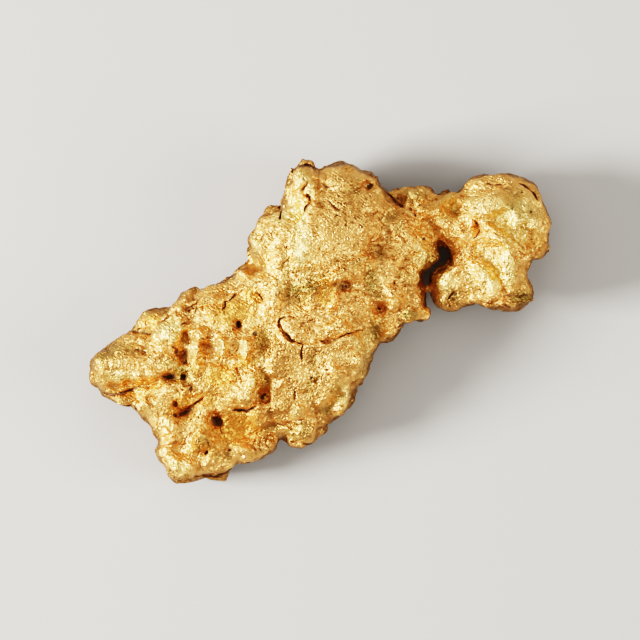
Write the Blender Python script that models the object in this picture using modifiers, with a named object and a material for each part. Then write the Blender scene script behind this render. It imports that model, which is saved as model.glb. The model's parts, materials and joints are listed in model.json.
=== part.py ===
"""A natural gold nugget, about 37 mm long, grown and worn as one solid piece.

The solid is made the way a sculptor would make it, all in millimetres until the last step:
1. its outline seen from above is a closed curve, filled to a thin plate and inflated to a rounded body,
   whose top and bottom follow a few spot heights;
2. small knobs are set along the rim, and the whole is fused by a voxel remesh;
3. lumps, hollows, ledges and creases are pressed into the top, and seeded dents into the underside;
4. the underside is flattened where it has worn on the ground, and the surface is reduced to a light mesh.
The longest side runs along X and the thickness along Z; Z = 0 is the ground.
"""

from collections import namedtuple
import math
import random

import bmesh
import bpy
from mathutils import Matrix, Vector, noise
import numpy as np

# ---------------------------------------------------------------- driving dimensions, in millimetres
MM = 0.001                  # one millimetre in metres
RIM_REACH = 2.7             # how far in from the outline the body is still rounding over
CLEFT_REACH = 1.2           # the same beside the cleft, whose walls are steeper
CLEFT_MIDDLE = (9.2, 3.8)   # of the cleft between the shoulder and the right lobe
CLEFT_SPREAD = 2.2          # how far the steeper walls reach
RIM_INSET = 0.04            # the body stays this far inside the outline, and the rim knobs reach it
RIM_SHARE = 0.46            # the outline lies at this share of the height, from the underside to the top
RIM_WANDER = 0.26           # and this share wanders up or down along the edge, over RIM_WANDER_SPAN
RIM_WANDER_SPAN = 4.8
PLATE_THICKNESS = 0.6       # the filled outline, before it is inflated
PLATE_GRAIN = 0.26          # voxel of the plate
WELD_REACH = 0.001          # points of the plate closer than this are one
FUSE_GRAIN = 0.21           # voxel that fuses the body and its knobs
FUSE_SMOOTHING = 4          # rounds of smoothing after that
SPOT_SPREAD = 2.6           # how far one spot height is felt
KNOB_SPACING = 0.75         # along the rim, between the middles of two knobs
KNOB_STEP = (0.7, 1.3)      # smallest and largest step to the next knob, as a share of the spacing
KNOB_RADIUS = (0.55, 1.15)  # smallest and largest rim knob
KNOB_DEPTH = (0.75, 1.0)    # shares of the radius that a knob measures across the rim
KNOB_HEIGHT = (0.8, 1.25)   # and upwards
KNOB_RISE = 0.8             # rim knobs sit up to this share of the way from the rim to the top or underside
KNOB_PROUD = 0.3            # how far knobs away from the rim's own level stand out of the body
PROUD_FROM = 0.4            # the share of the way from the rim at which they stand out fully
WANDER = 1.3                # above and below the rim the sides wander this much, over WANDER_SPAN
WANDER_SPAN = 3.1
WANDER_HEIGHT = 2.0         # the distance above or below the rim at which they wander fully

# ---------------------------------------------------------------- how the surface is worked
SWELL_HEIGHT = 0.25         # height of the broad random swell, felt over SWELL_SPAN
SWELL_SPAN = 2.6
SWELL_ON_TOP = 0.4          # share of the swell that is left on the top, where the relief is written out
SWELL_ON_SIDES = 0.5        # and on upright sides
COARSE_CELL = 1.9           # size of the rounded lumps that cover the whole surface, and how high they stand
COARSE_CELL_RISE = 0.42
FINE_CELL = 0.85
FINE_CELL_RISE = 0.16
CELL_WANDER = 0.35          # how far the lumps are pushed out of even packing, as a share of their size
CELL_WANDER_SPAN = 1.1
CELL_ROUNDNESS = 1.6        # how soon a lump falls away from its middle
CELL_MEAN = 0.7             # its mean level, taken off so that the lumps don't make the body larger
CELLS_ON_TOP = 0.75         # share of the packed lumps that shows on the top
CELLS_ON_SIDES = 0.4        # and on upright sides
TOP_SLOPE = (-0.05, 0.45)   # upward part of the normal at which the top's relief starts and is full
UNDER_SLOPE = (0.05, 0.5)   # the same for the dents of the underside, downwards
DENT_COUNT = 110            # dents worn into the underside
DENT_RADIUS = (0.7, 1.9)
DENT_ROUNDNESS = (0.5, 1.0)  # the width of a dent as a share of its length
DENT_DEPTH = (0.12, 0.42)
BUMP_SPREAD = 1.2           # a bump reaches this many times its stated half lengths
LUMP_FULLNESS = 0.8         # lumps are full domes, with a clear foot
HOLLOW_FULLNESS = 1.2       # hollows run out softly
CREASE_SHARPNESS = 1.4      # above 1 the bottom of a crease is narrower than its mouth
CREASE_END = 0.4            # share of its depth that is left at both ends
PATH_FADE = 0.15            # creases and ledges fade over this share of their length at both ends
LEDGE_FACE = (-0.15, 0.25)  # from the foot to the brow of a ledge, measured across its path
LEDGE_CREST = 0.2           # behind this the ledge starts to fall away
GROUND_CLEARANCE = 0.14     # the underside stays this far above the ground, except on its worn flats
TRIANGLES = 9500            # of the finished solid
SHARP_EDGE = 50.0           # edges sharper than this many degrees stay crisp
SEED = 27
RIM_SLICE = 4.0             # heights at which the random field is cut, so that no two uses look alike
FOOT_SLICE = 9.0
GOLD_COLOUR = (0.80, 0.50, 0.17, 1.0)     # linear red, green, blue and alpha
GOLD_ROUGHNESS = 0.42       # satin, neither polished nor dull

# ---------------------------------------------------------------- the outline seen from above
TIP_UPPER_EDGE = [(-18.8, -3.9), (-18.25, -2.9), (-16.9, -1.95), (-15.2, -0.85), (-14.5, 0.2)]
UPPER_LEFT_KNOB = [(-13.7, 0.9), (-12.1, 0.95)]
UPPER_LEFT_EDGE = [(-10.75, 2.2), (-9.85, 2.85), (-9.1, 2.75), (-7.6, 3.4), (-6.8, 4.15), (-6.1, 4.5)]
CENTRE_LEFT_EDGE = [(-5.6, 4.6), (-5.8, 5.1), (-5.7, 6.4), (-5.05, 7.5), (-4.15, 8.75), (-3.45, 9.1),
                    (-3.12, 8.7), (-3.0, 9.8), (-2.65, 11.0), (-2.05, 12.3), (-1.35, 12.95), (-0.55, 12.85)]
CENTRE_TOP_EDGE = [(-0.05, 12.2), (0.6, 12.65), (1.9, 12.8), (2.8, 12.25), (3.95, 11.6), (4.85, 10.6),
                   (5.4, 10.05)]
NECK_TOP_EDGE = [(5.9, 10.45), (8.2, 10.7), (8.95, 10.55), (9.2, 10.1), (10.1, 10.15), (11.1, 10.4)]
RIGHT_LOBE_EDGE = [(11.8, 11.05), (12.6, 11.5), (14.4, 11.85), (16.0, 11.5), (17.25, 10.85), (17.6, 9.8),
                   (18.2, 8.6), (18.5, 7.3), (18.45, 5.9), (17.85, 4.95), (17.05, 4.75), (16.7, 4.0),
                   (16.85, 3.1), (17.0, 1.9), (16.5, 1.0), (15.6, 0.62), (14.3, 0.82), (12.7, 1.0),
                   (11.3, 1.1), (10.6, 0.72), (9.65, 0.85), (9.15, 1.5), (8.98, 2.8), (9.2, 3.9),
                   (9.9, 4.6), (10.3, 5.2), (10.0, 5.9)]
CLEFT_EDGE = [(9.65, 6.35), (9.55, 5.9), (9.45, 5.2), (9.0, 4.35), (8.3, 4.1), (8.15, 3.5), (8.35, 2.9),
              (8.55, 2.3), (8.4, 1.2), (8.5, 0.1), (8.15, -0.4), (7.5, -0.2)]
FOOT_EDGE = [(7.15, 0.0), (6.7, -0.6), (6.3, -1.25), (5.45, -1.9), (4.75, -2.05)]
CENTRE_LOWER_EDGE = [(4.45, -2.35), (4.3, -3.1), (3.6, -4.5), (3.0, -5.8), (2.5, -6.95), (1.8, -7.65),
                     (0.85, -7.8), (0.7, -8.75), (0.0, -9.45), (-0.9, -10.1), (-1.9, -10.5),
                     (-2.65, -10.0), (-2.95, -9.45)]
BOTTOM_EDGE = [(-3.4, -9.75), (-3.7, -10.5), (-4.6, -11.15), (-5.8, -11.55), (-6.65, -11.75), (-7.05, -12.5),
               (-7.5, -13.1), (-8.5, -13.0), (-9.7, -12.85), (-10.9, -13.15), (-11.95, -12.95),
               (-12.3, -12.0), (-13.0, -11.25), (-13.3, -10.4), (-12.95, -9.75), (-13.6, -9.2),
               (-13.95, -8.15), (-14.55, -7.75), (-15.05, -6.8)]
TIP_LOWER_EDGE = [(-15.1, -6.45), (-15.55, -6.85), (-16.5, -6.5), (-17.6, -5.85), (-18.6, -5.05)]
OUTLINE = (TIP_UPPER_EDGE + UPPER_LEFT_KNOB + UPPER_LEFT_EDGE + CENTRE_LEFT_EDGE + CENTRE_TOP_EDGE
           + NECK_TOP_EDGE + RIGHT_LOBE_EDGE + CLEFT_EDGE + FOOT_EDGE + CENTRE_LOWER_EDGE + BOTTOM_EDGE
           + TIP_LOWER_EDGE)
CURVE_STEPS = 5             # straight pieces between two outline points
CLEFT_LOW = (7.0, 0.6)      # corners of the place seen from above where rim knobs would close the cleft
CLEFT_HIGH = (11.2, 7.2)

# ---------------------------------------------------------------- spot heights: where, top and underside
Spot = namedtuple("Spot", "x y top under")
SPOTS = [
    # tip and upper left
    Spot(-17.0, -4.1, 5.5, 1.5), Spot(-14.6, -3.5, 6.3, 1.1), Spot(-13.2, 0.1, 5.3, 1.8),
    # left body
    Spot(-11.0, -1.2, 7.0, 0.9), Spot(-8.0, 1.5, 7.0, 1.2), Spot(-11.5, -4.6, 6.9, 0.5),
    Spot(-8.0, -4.3, 7.5, 0.4), Spot(-12.5, -8.3, 6.1, 0.9), Spot(-8.8, -8.2, 6.4, 0.5),
    Spot(-6.6, -9.4, 5.4, 0.9), Spot(-11.2, -11.6, 5.2, 1.5), Spot(-7.8, -12.2, 4.7, 1.6),
    Spot(-5.4, -5.6, 7.4, 0.6), Spot(-4.6, -10.0, 5.0, 1.4),
    # central mass
    Spot(-4.6, 6.4, 6.4, 1.5), Spot(-3.2, 3.4, 7.8, 0.9), Spot(-1.3, 6.6, 9.5, 0.8),
    Spot(-1.4, 11.0, 7.9, 1.8),
    Spot(2.2, 8.3, 9.1, 0.7), Spot(3.0, 11.4, 7.7, 1.7), Spot(1.5, 4.5, 9.0, 0.4), Spot(0.2, 1.8, 8.0, 0.4),
    Spot(0.0, -1.2, 8.5, 0.7), Spot(-2.8, -3.6, 7.9, 0.8), Spot(1.9, -4.2, 7.4, 1.0),
    Spot(-1.2, -6.8, 6.9, 1.2),
    Spot(-0.9, -9.0, 5.3, 1.8), Spot(3.4, 1.0, 8.0, 0.6), Spot(6.2, 7.2, 7.7, 1.1),
    Spot(6.6, 2.6, 7.4, 1.1),
    Spot(5.6, -0.8, 6.0, 1.5), Spot(8.9, 5.1, 5.4, 1.6), Spot(8.1, 0.2, 4.6, 1.9),
    # neck
    Spot(7.6, 9.8, 5.6, 1.9), Spot(10.0, 9.0, 5.9, 2.0),
    # right lobe
    Spot(11.0, 6.6, 6.3, 1.1), Spot(13.2, 9.2, 7.1, 0.8), Spot(16.4, 8.2, 6.9, 0.9),
    Spot(14.2, 5.0, 7.4, 0.5),
    Spot(10.6, 3.0, 6.0, 1.1), Spot(13.2, 2.6, 6.7, 0.8), Spot(15.9, 2.4, 6.0, 1.1),
]

# ---------------------------------------------------------------- relief of the top
# A lump or hollow has its middle, its half lengths along and across, its height or depth, and its turn
# in degrees.
Bump = namedtuple("Bump", "x y along across rise turn")
# A crease is a groove of one width and depth along a path. A ledge is a step along a path: the ground on the
# left-hand side of the path stands up by its rise, and falls away again over its reach.
Crease = namedtuple("Crease", "width depth path")
Ledge = namedtuple("Ledge", "rise reach path")

TIP_LUMPS = [
    Bump(-15.9, -3.1, 2.6, 0.8, 0.45, 6), Bump(-17.4, -4.7, 0.6, 0.6, 0.25, 0),
    Bump(-16.1, -4.8, 0.6, 0.6, 0.30, 0), Bump(-14.8, -4.4, 0.6, 0.6, 0.30, 0),
    Bump(-13.6, -4.2, 0.5, 0.6, 0.25, 0),
    Bump(-15.4, -1.7, 1.3, 0.8, 0.40, 30), Bump(-15.9, -6.3, 1.0, 0.6, 0.35, -10),
    Bump(-13.2, 0.2, 1.2, 0.9, 0.50, 10),
]
LEFT_BODY_LUMPS = [
    Bump(-12.3, -0.9, 1.2, 0.9, 0.75, 60), Bump(-11.4, 0.5, 0.8, 0.7, 0.40, 0),
    Bump(-12.2, -3.2, 1.0, 0.9, 0.45, 0),
    Bump(-9.8, -2.2, 1.4, 0.6, 0.55, 80), Bump(-9.2, -1.2, 0.9, 0.7, 0.40, 0),
    Bump(-7.3, -2.0, 1.4, 0.9, 0.70, 80),
    Bump(-5.3, -2.0, 1.3, 0.7, 0.65, 75), Bump(-8.7, 1.9, 1.3, 0.8, 0.35, 35),
    Bump(-7.0, 0.4, 1.5, 1.2, 0.35, 0),
    Bump(-8.4, -4.6, 1.8, 1.2, 0.45, 0), Bump(-6.3, -4.0, 0.9, 0.8, 0.30, 0),
    Bump(-5.1, -5.0, 0.8, 0.7, 0.50, 60),
    Bump(-6.1, -6.0, 1.1, 0.9, 0.75, 30), Bump(-11.0, -5.6, 1.7, 0.5, 0.35, 5),
    Bump(-12.5, -6.8, 1.0, 0.8, 0.35, 0),
    Bump(-12.0, -9.1, 1.3, 1.0, 0.40, 20), Bump(-9.4, -9.7, 1.0, 0.9, 0.45, 0),
    Bump(-9.3, -7.2, 0.8, 0.6, 0.30, 0),
    Bump(-12.7, -10.6, 0.8, 0.7, 0.30, 0), Bump(-11.2, -11.7, 1.2, 1.0, 0.40, 0),
    Bump(-8.9, -11.4, 1.1, 0.6, 0.30, 0),
    Bump(-8.8, -12.3, 1.6, 0.5, 0.25, 5), Bump(-4.6, -9.8, 1.2, 0.9, 0.45, 60),
    Bump(-5.7, -10.8, 0.9, 0.6, 0.30, 0),
    Bump(-4.9, -7.9, 0.9, 0.5, 0.55, 110), Bump(-7.4, -7.0, 0.6, 0.5, 0.25, 0),
]
CENTRE_LUMPS = [
    Bump(-4.2, 6.9, 1.8, 1.2, 0.40, 60), Bump(-3.7, 4.7, 1.2, 1.0, 0.30, 0),
    Bump(-2.1, 10.8, 1.3, 0.7, 0.40, 75),
    Bump(-1.6, 6.2, 2.4, 0.9, 0.45, 80), Bump(-0.6, 9.4, 1.4, 0.6, 0.35, 75),
    Bump(-3.7, 1.4, 1.6, 0.6, 0.50, 70),
    Bump(-4.4, 3.0, 1.0, 0.8, 0.25, 0), Bump(1.6, 11.4, 1.4, 0.9, 0.30, 0),
    Bump(1.4, 8.6, 1.6, 1.0, 0.25, 45),
    Bump(4.3, 9.3, 1.0, 0.9, 0.25, 0), Bump(0.9, -0.7, 1.4, 0.7, 0.30, 15),
    Bump(-1.9, -1.0, 1.6, 0.8, 0.35, -25),
    Bump(1.1, 1.5, 0.9, 0.3, 0.35, 75), Bump(2.6, 0.9, 1.0, 0.8, 0.25, 0),
    Bump(3.2, -1.9, 1.1, 0.9, 0.30, 0),
    Bump(2.6, -3.3, 0.8, 0.7, 0.30, 0), Bump(1.0, -4.0, 0.7, 0.6, 0.25, 0),
    Bump(-2.9, -3.7, 1.2, 1.0, 0.20, 0),
    Bump(1.9, -6.4, 1.0, 0.5, 0.45, 60), Bump(-2.8, -6.6, 1.3, 0.7, 0.35, 10),
    Bump(-1.7, -7.3, 0.8, 0.5, 0.40, 60),
    Bump(-1.0, -9.0, 1.3, 0.8, 0.35, 15), Bump(-0.2, -6.2, 0.8, 0.6, 0.25, 0),
    Bump(6.3, 7.2, 1.1, 0.8, 0.40, -40), Bump(6.9, 3.3, 1.0, 0.8, 0.35, 0),
    Bump(5.7, 1.6, 1.6, 0.8, 0.50, 80),
    Bump(7.4, 1.3, 1.0, 0.8, 0.25, 0), Bump(7.5, 5.9, 1.3, 0.9, 0.35, 0), Bump(8.8, 5.0, 0.7, 0.6, 0.45, 0),
    Bump(5.4, -1.3, 1.0, 0.6, 0.30, 20),
]
NECK_LUMPS = [
    Bump(7.7, 10.1, 1.3, 0.6, 0.45, 5), Bump(9.9, 9.7, 0.8, 0.6, 0.45, 0),
    Bump(9.6, 8.1, 0.9, 0.7, 0.30, -45),
    Bump(7.9, 8.9, 0.9, 0.5, 0.25, -30),
]
RIGHT_LOBE_LUMPS = [
    Bump(12.6, 9.0, 1.6, 1.0, 0.45, 20), Bump(14.2, 9.6, 1.0, 0.9, 0.25, 0),
    Bump(13.0, 11.0, 1.3, 0.6, 0.25, 10),
    Bump(15.9, 8.6, 1.3, 0.8, 0.35, 60), Bump(11.6, 6.9, 0.9, 0.8, 0.35, 0),
    Bump(14.4, 6.7, 1.6, 0.6, 0.50, -35),
    Bump(15.0, 4.3, 1.8, 0.6, 0.55, 95), Bump(13.1, 3.5, 1.6, 0.7, 0.50, -50),
    Bump(10.3, 3.2, 1.2, 1.0, 0.35, 80),
    Bump(11.6, 4.3, 0.9, 0.7, 0.30, 0), Bump(17.4, 7.0, 1.6, 0.7, 0.35, 80),
    Bump(16.6, 10.3, 1.2, 0.5, 0.25, -30),
    Bump(13.0, 1.8, 1.2, 0.5, 0.30, 0), Bump(15.8, 1.7, 1.1, 0.6, 0.25, -10),
    Bump(16.2, 3.6, 1.2, 0.6, 0.20, 85),
]
LEFT_BODY_HOLLOWS = [
    Bump(-16.5, -5.3, 0.6, 0.45, -0.35, -20), Bump(-10.85, -3.0, 0.7, 0.6, -0.95, 70),
    Bump(-11.9, -4.6, 0.75, 0.35, -0.80, -5), Bump(-10.8, -4.5, 0.35, 0.35, -0.9, 0),
    Bump(-10.8, -1.6, 0.9, 0.4, -0.30, 85), Bump(-11.5, -6.95, 0.5, 0.3, -0.45, -45),
    Bump(-10.7, -7.5, 1.0, 0.6, -0.90, 30), Bump(-8.2, -8.0, 0.75, 0.65, -1.00, 0),
    Bump(-9.1, -10.5, 0.35, 0.35, -0.6, 0),
    Bump(-6.8, -9.1, 1.9, 1.4, -0.65, 30), Bump(-7.5, -10.7, 0.9, 0.5, -0.30, 20),
    Bump(-4.4, -6.1, 0.6, 0.4, -0.90, 50),
    Bump(-6.45, -0.4, 0.42, 0.42, -0.75, 0), Bump(-8.7, -2.1, 0.55, 0.45, -0.30, 0),
    Bump(-10.9, -8.7, 0.9, 0.45, -0.35, 70),
]
CENTRE_HOLLOWS = [
    Bump(-1.6, 1.5, 1.6, 0.9, -0.40, 15), Bump(0.5, 2.3, 0.9, 0.8, -0.60, 0),
    Bump(1.9, 2.6, 0.55, 0.4, -0.65, 0),
    Bump(4.0, 10.7, 0.4, 0.35, -0.6, 0), Bump(4.6, 0.85, 0.45, 0.4, -0.70, 0),
    Bump(5.95, 2.95, 0.3, 0.3, -0.45, 0),
    Bump(-0.5, -4.8, 0.7, 0.4, -0.40, -60), Bump(1.1, -6.0, 0.6, 0.35, -0.35, 60),
    Bump(7.5, 9.4, 0.6, 0.45, -0.35, 0),
    Bump(6.4, 9.5, 0.5, 0.4, -0.45, 0), Bump(6.1, 8.4, 0.7, 0.45, -0.35, 20),
    Bump(-0.9, 9.9, 0.7, 0.35, -0.35, 70),
    Bump(3.9, 3.4, 0.8, 0.6, -0.20, 0), Bump(3.3, 4.3, 1.0, 0.5, -0.15, 30),
]
RIGHT_LOBE_HOLLOWS = [
    Bump(12.6, 7.2, 0.6, 0.4, -0.70, 95), Bump(10.9, 9.1, 0.8, 0.45, -0.60, -65),
    Bump(12.6, 5.7, 0.8, 0.6, -0.30, 30),
    Bump(10.9, 1.9, 0.8, 0.5, -0.55, 40), Bump(13.9, 7.9, 0.8, 0.5, -0.18, 0),
    Bump(16.8, 8.6, 0.5, 0.5, -0.15, 0),
    Bump(16.7, 6.4, 0.7, 0.4, -0.18, 40), Bump(13.4, 4.9, 1.0, 0.4, -0.15, -45),
    Bump(15.1, 9.9, 0.8, 0.5, -0.25, 0),
]
CREASES = [
    # where the central mass lies over the left body
    Crease(0.9, 0.9, [(-6.1, 4.8), (-5.2, 4.2), (-4.4, 4.0)]),
    Crease(0.7, 0.45, [(-6.0, 2.5), (-7.1, 1.8), (-7.6, 0.8)]),
    Crease(0.5, 0.35, [(-5.1, 2.3), (-4.4, 1.5)]),
    # under the tip, round its upper side and behind the upper left knob
    Crease(0.7, 0.60, [(-17.1, -5.9), (-15.2, -5.6), (-14.1, -5.2), (-13.0, -4.9)]),
    Crease(0.6, 0.40, [(-15.2, -0.8), (-13.5, -1.1)]),
    Crease(0.6, 0.45, [(-12.0, 0.6), (-12.9, -0.4), (-13.5, -1.0)]),
    # under the lump at the middle of the left body, and round the lower knobs
    Crease(0.6, 0.60, [(-6.9, -7.0), (-5.9, -7.15), (-5.0, -6.85)]),
    Crease(0.6, 0.50, [(-5.8, -9.7), (-5.2, -8.9), (-4.1, -8.5), (-3.2, -8.5)]),
    Crease(0.6, 0.45, [(-3.2, -8.2), (-1.9, -8.2), (-0.8, -8.2), (0.3, -7.8)]),
    Crease(0.5, 0.35, [(-10.0, -12.5), (-8.2, -12.6), (-6.9, -11.9)]),
    # troughs between the lumps of the left body
    Crease(0.9, 0.35, [(-4.6, -0.7), (-4.8, -1.7), (-5.0, -2.8)]),
    Crease(0.9, 0.32, [(-4.2, -3.9), (-4.5, -5.0), (-4.5, -5.8)]),
    Crease(0.6, 0.35, [(-8.9, -2.6), (-7.9, -3.3), (-6.2, -3.2), (-5.0, -3.1)]),
    Crease(0.6, 0.40, [(-10.2, -6.5), (-9.3, -6.3)]),
    # valley that parts the central plateau from its right shoulder
    Crease(1.3, 0.25, [(4.7, 5.8), (4.6, 4.6), (4.2, 3.0), (4.3, 1.6), (4.5, 0.4), (4.4, -0.9),
    (4.9, -1.9)]),
    Crease(0.6, 0.40, [(5.5, 10.1), (6.2, 9.3), (6.6, 8.7), (7.6, 8.3), (8.5, 7.7)]),
    # the cleft between the shoulder and the right lobe runs on as a deep groove
    Crease(0.9, 0.90, [(8.5, 7.9), (9.0, 7.3), (9.6, 6.6)]),
    # round the top of the central mass
    Crease(0.5, 0.40, [(-3.15, 8.9), (-3.1, 8.0)]),
    Crease(0.5, 0.40, [(-2.1, 12.1), (-1.3, 12.5), (-0.5, 12.3), (-0.1, 11.7)]),
    # the right lobe: its outer rim, its parts and its left edge
    Crease(0.6, 0.40, [(15.7, 11.1), (16.7, 10.5), (17.4, 9.7)]),
    Crease(0.9, 0.22, [(15.2, 7.1), (15.7, 6.2), (15.6, 5.0), (15.7, 3.6)]),
    Crease(0.6, 0.30, [(11.0, 9.8), (12.0, 9.9), (12.8, 10.0)]),
    Crease(0.7, 0.18, [(13.2, 4.9), (14.0, 4.0), (14.4, 2.9)]),
    Crease(0.6, 0.30, [(10.6, 5.6), (11.4, 5.6), (12.2, 6.1)]),
]
LEDGES = [
    # the plateau's lower step, and a lower one before it
    Ledge(0.60, 2.6, [(4.4, 5.7), (3.0, 5.0), (1.9, 4.6), (0.6, 3.4), (-0.8, 2.9), (-2.4, 2.3)]),
    # the tongue that lies across the middle, seen from its lower left edge
    Ledge(0.45, 1.5, [(3.3, -0.8), (2.2, -1.0), (1.2, -1.6), (0.0, -1.6), (-1.6, -1.95), (-2.6, -1.3),
    (-3.4, -0.5)]),
    # the lower edge of the middle above the knob
    Ledge(0.40, 1.4, [(0.6, -7.4), (-0.8, -7.7), (-2.2, -7.9), (-4.0, -7.4)]),
    # the layered lower right edge
    Ledge(0.35, 1.0, [(17.0, 2.3), (15.8, 1.8), (14.4, 1.7), (13.0, 1.6)]),
]


# Worn places of the top, where the packed lumps show less: x, y, spread and how calm.
SMOOTH_PLACES = [(2.0, 7.5, 2.6, 0.8), (0.5, 4.3, 1.5, 0.7), (0.5, -2.5, 2.0, 0.6), (17.4, 8.0, 1.0, 0.7),
                 (-6.8, -9.2, 1.2, 0.6), (2.6, 11.0, 1.2, 0.5)]


# Feet of the underside, worn flat at Z = 0: middle of the flat, half lengths along and across, and its
# turn in degrees.
Flat = namedtuple("Flat", "x y along across turn")
FLATS = [Flat(-9.2, -5.2, 2.6, 1.7, 20), Flat(0.9, 2.6, 3.0, 2.1, 35), Flat(13.8, 5.0, 1.9, 1.4, -40)]
FLAT_EDGE = (1.0, 1.1)      # from the edge of a flat to the unworn skin, in the flat's half lengths
FOOT_SWELL = 1.0            # how far a foot swells down below the ground before it is worn off
FOOT_CORE = 0.6             # it swells fully up to this many of the flat's half lengths
FOOT_SPREAD = 1.9           # and has ended at this many
FOOT_TOP = 2.5              # nothing higher than this belongs to a foot
FOOT_UNEVENNESS = 0.25      # its edge wanders by this share of the half lengths, over FOOT_SPAN
FOOT_SPAN = 1.25


def smooth_step(low, high, value):
    """0 below low, 1 above high, and a soft ramp between them."""
    t = np.clip((value - low) / (high - low), 0.0, 1.0)
    return t * t * (3.0 - 2.0 * t)


def closed_curve(points, steps):
    """A smooth closed curve through the points, as short straight pieces (Catmull-Rom)."""
    ring = np.array(points)
    before = np.roll(ring, 1, axis=0)
    after = np.roll(ring, -1, axis=0)
    beyond = np.roll(ring, -2, axis=0)
    rows = []
    for step in range(steps):
        t = step / steps
        rows.append(0.5 * (2.0 * ring + (after - before) * t
                           + (2.0 * before - 5.0 * ring + 4.0 * after - beyond) * t ** 2
                           + (3.0 * ring - before - 3.0 * after + beyond) * t ** 3))
    return np.stack(rows, axis=1).reshape(-1, 2)


def nearest_on_path(points, path, closed=False):
    """For each point: its distance to the path, the nearest spot on it, the side it is on (positive is the
    left-hand side) and how far along the path that spot is, from 0 to 1."""
    path = np.array(path, dtype=float)
    ends = np.roll(path, -1, axis=0) if closed else path[1:]
    starts = path if closed else path[:-1]
    lengths = np.linalg.norm(ends - starts, axis=1)
    travelled = np.concatenate([[0.0], np.cumsum(lengths)])
    best = np.full(len(points), 1e9)
    nearest = np.zeros((len(points), 2))
    side = np.zeros(len(points))
    along = np.zeros(len(points))
    for start, end, length, done in zip(starts, ends, lengths, travelled):
        direction = (end - start) / length
        offset = points - start
        t = np.clip(offset @ direction, 0.0, length)
        spot = start + t[:, None] * direction
        distance = np.linalg.norm(points - spot, axis=1)
        closer = distance < best
        best[closer] = distance[closer]
        nearest[closer] = spot[closer]
        side[closer] = (direction[0] * offset[:, 1] - direction[1] * offset[:, 0])[closer]
        along[closer] = (done + t[closer]) / travelled[-1]
    return best, nearest, side, along


def spot_levels(points):
    """Top and underside level at each point, blended from the spot heights."""
    weights = np.stack([np.exp(-((points[:, 0] - spot.x) ** 2 + (points[:, 1] - spot.y) ** 2)
                               / (2.0 * SPOT_SPREAD ** 2)) for spot in SPOTS], axis=1) + 1e-9
    weights /= weights.sum(axis=1, keepdims=True)
    levels = weights @ np.array([(spot.top, spot.under) for spot in SPOTS])
    return levels[:, 0], levels[:, 1]


def rim_reach(points):
    """How far in from the outline the body is still rounding over, at each point."""
    offset = points - CLEFT_MIDDLE
    beside_cleft = np.exp(-(offset ** 2).sum(axis=1) / (2.0 * CLEFT_SPREAD ** 2))
    return RIM_REACH + (CLEFT_REACH - RIM_REACH) * beside_cleft


def rim_level(points):
    """Height of the outline itself: a little under half way up, and wandering as a natural edge does."""
    top, under = spot_levels(points)
    wander = np.array([noise.noise(Vector((x / RIM_WANDER_SPAN, y / RIM_WANDER_SPAN, RIM_SLICE)))
                       for x, y in points])
    return under + (top - under) * (RIM_SHARE + RIM_WANDER * wander)


def vertices_of(mesh):
    flat = np.empty(len(mesh.vertices) * 3, dtype=np.float32)
    mesh.vertices.foreach_get("co", flat)
    return flat.reshape(-1, 3).astype(float)


def set_vertices(mesh, positions):
    mesh.vertices.foreach_set("co", positions.astype(np.float32).ravel())
    mesh.update()


def finished_mesh(thing, name):
    """The object's mesh with its modifiers applied; the object itself is removed."""
    graph = bpy.context.evaluated_depsgraph_get()
    mesh = bpy.data.meshes.new_from_object(thing.evaluated_get(graph))
    mesh.name = name
    bpy.data.objects.remove(thing)
    return mesh


def remeshed(mesh, grain, smoothing):
    """The mesh fused and evened out by a voxel remesh, then smoothed a few times."""
    thing = bpy.data.objects.new("working shape", mesh)
    bpy.context.scene.collection.objects.link(thing)
    fuse = thing.modifiers.new("fuse", "REMESH")
    fuse.mode = "VOXEL"
    fuse.voxel_size = grain
    if smoothing:
        soften = thing.modifiers.new("soften", "SMOOTH")
        soften.factor = 0.5
        soften.iterations = smoothing
    return finished_mesh(thing, "fused shape")


def outline_plate(outline):
    """The outline as a filled flat curve with a little thickness, meshed evenly."""
    curve = bpy.data.curves.new("outline", "CURVE")
    curve.dimensions = "2D"
    curve.fill_mode = "BOTH"
    curve.extrude = PLATE_THICKNESS / 2.0
    spline = curve.splines.new("POLY")
    spline.points.add(len(outline) - 1)
    for point, (x, y) in zip(spline.points, outline):
        point.co = (x, y, 0.0, 1.0)
    spline.use_cyclic_u = True
    thing = bpy.data.objects.new("outline", curve)
    bpy.context.scene.collection.objects.link(thing)
    plate = finished_mesh(thing, "plate")
    weld = bmesh.new()
    weld.from_mesh(plate)
    bmesh.ops.remove_doubles(weld, verts=weld.verts, dist=WELD_REACH)
    weld.to_mesh(plate)
    weld.free()
    return remeshed(plate, PLATE_GRAIN, 0)


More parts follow.
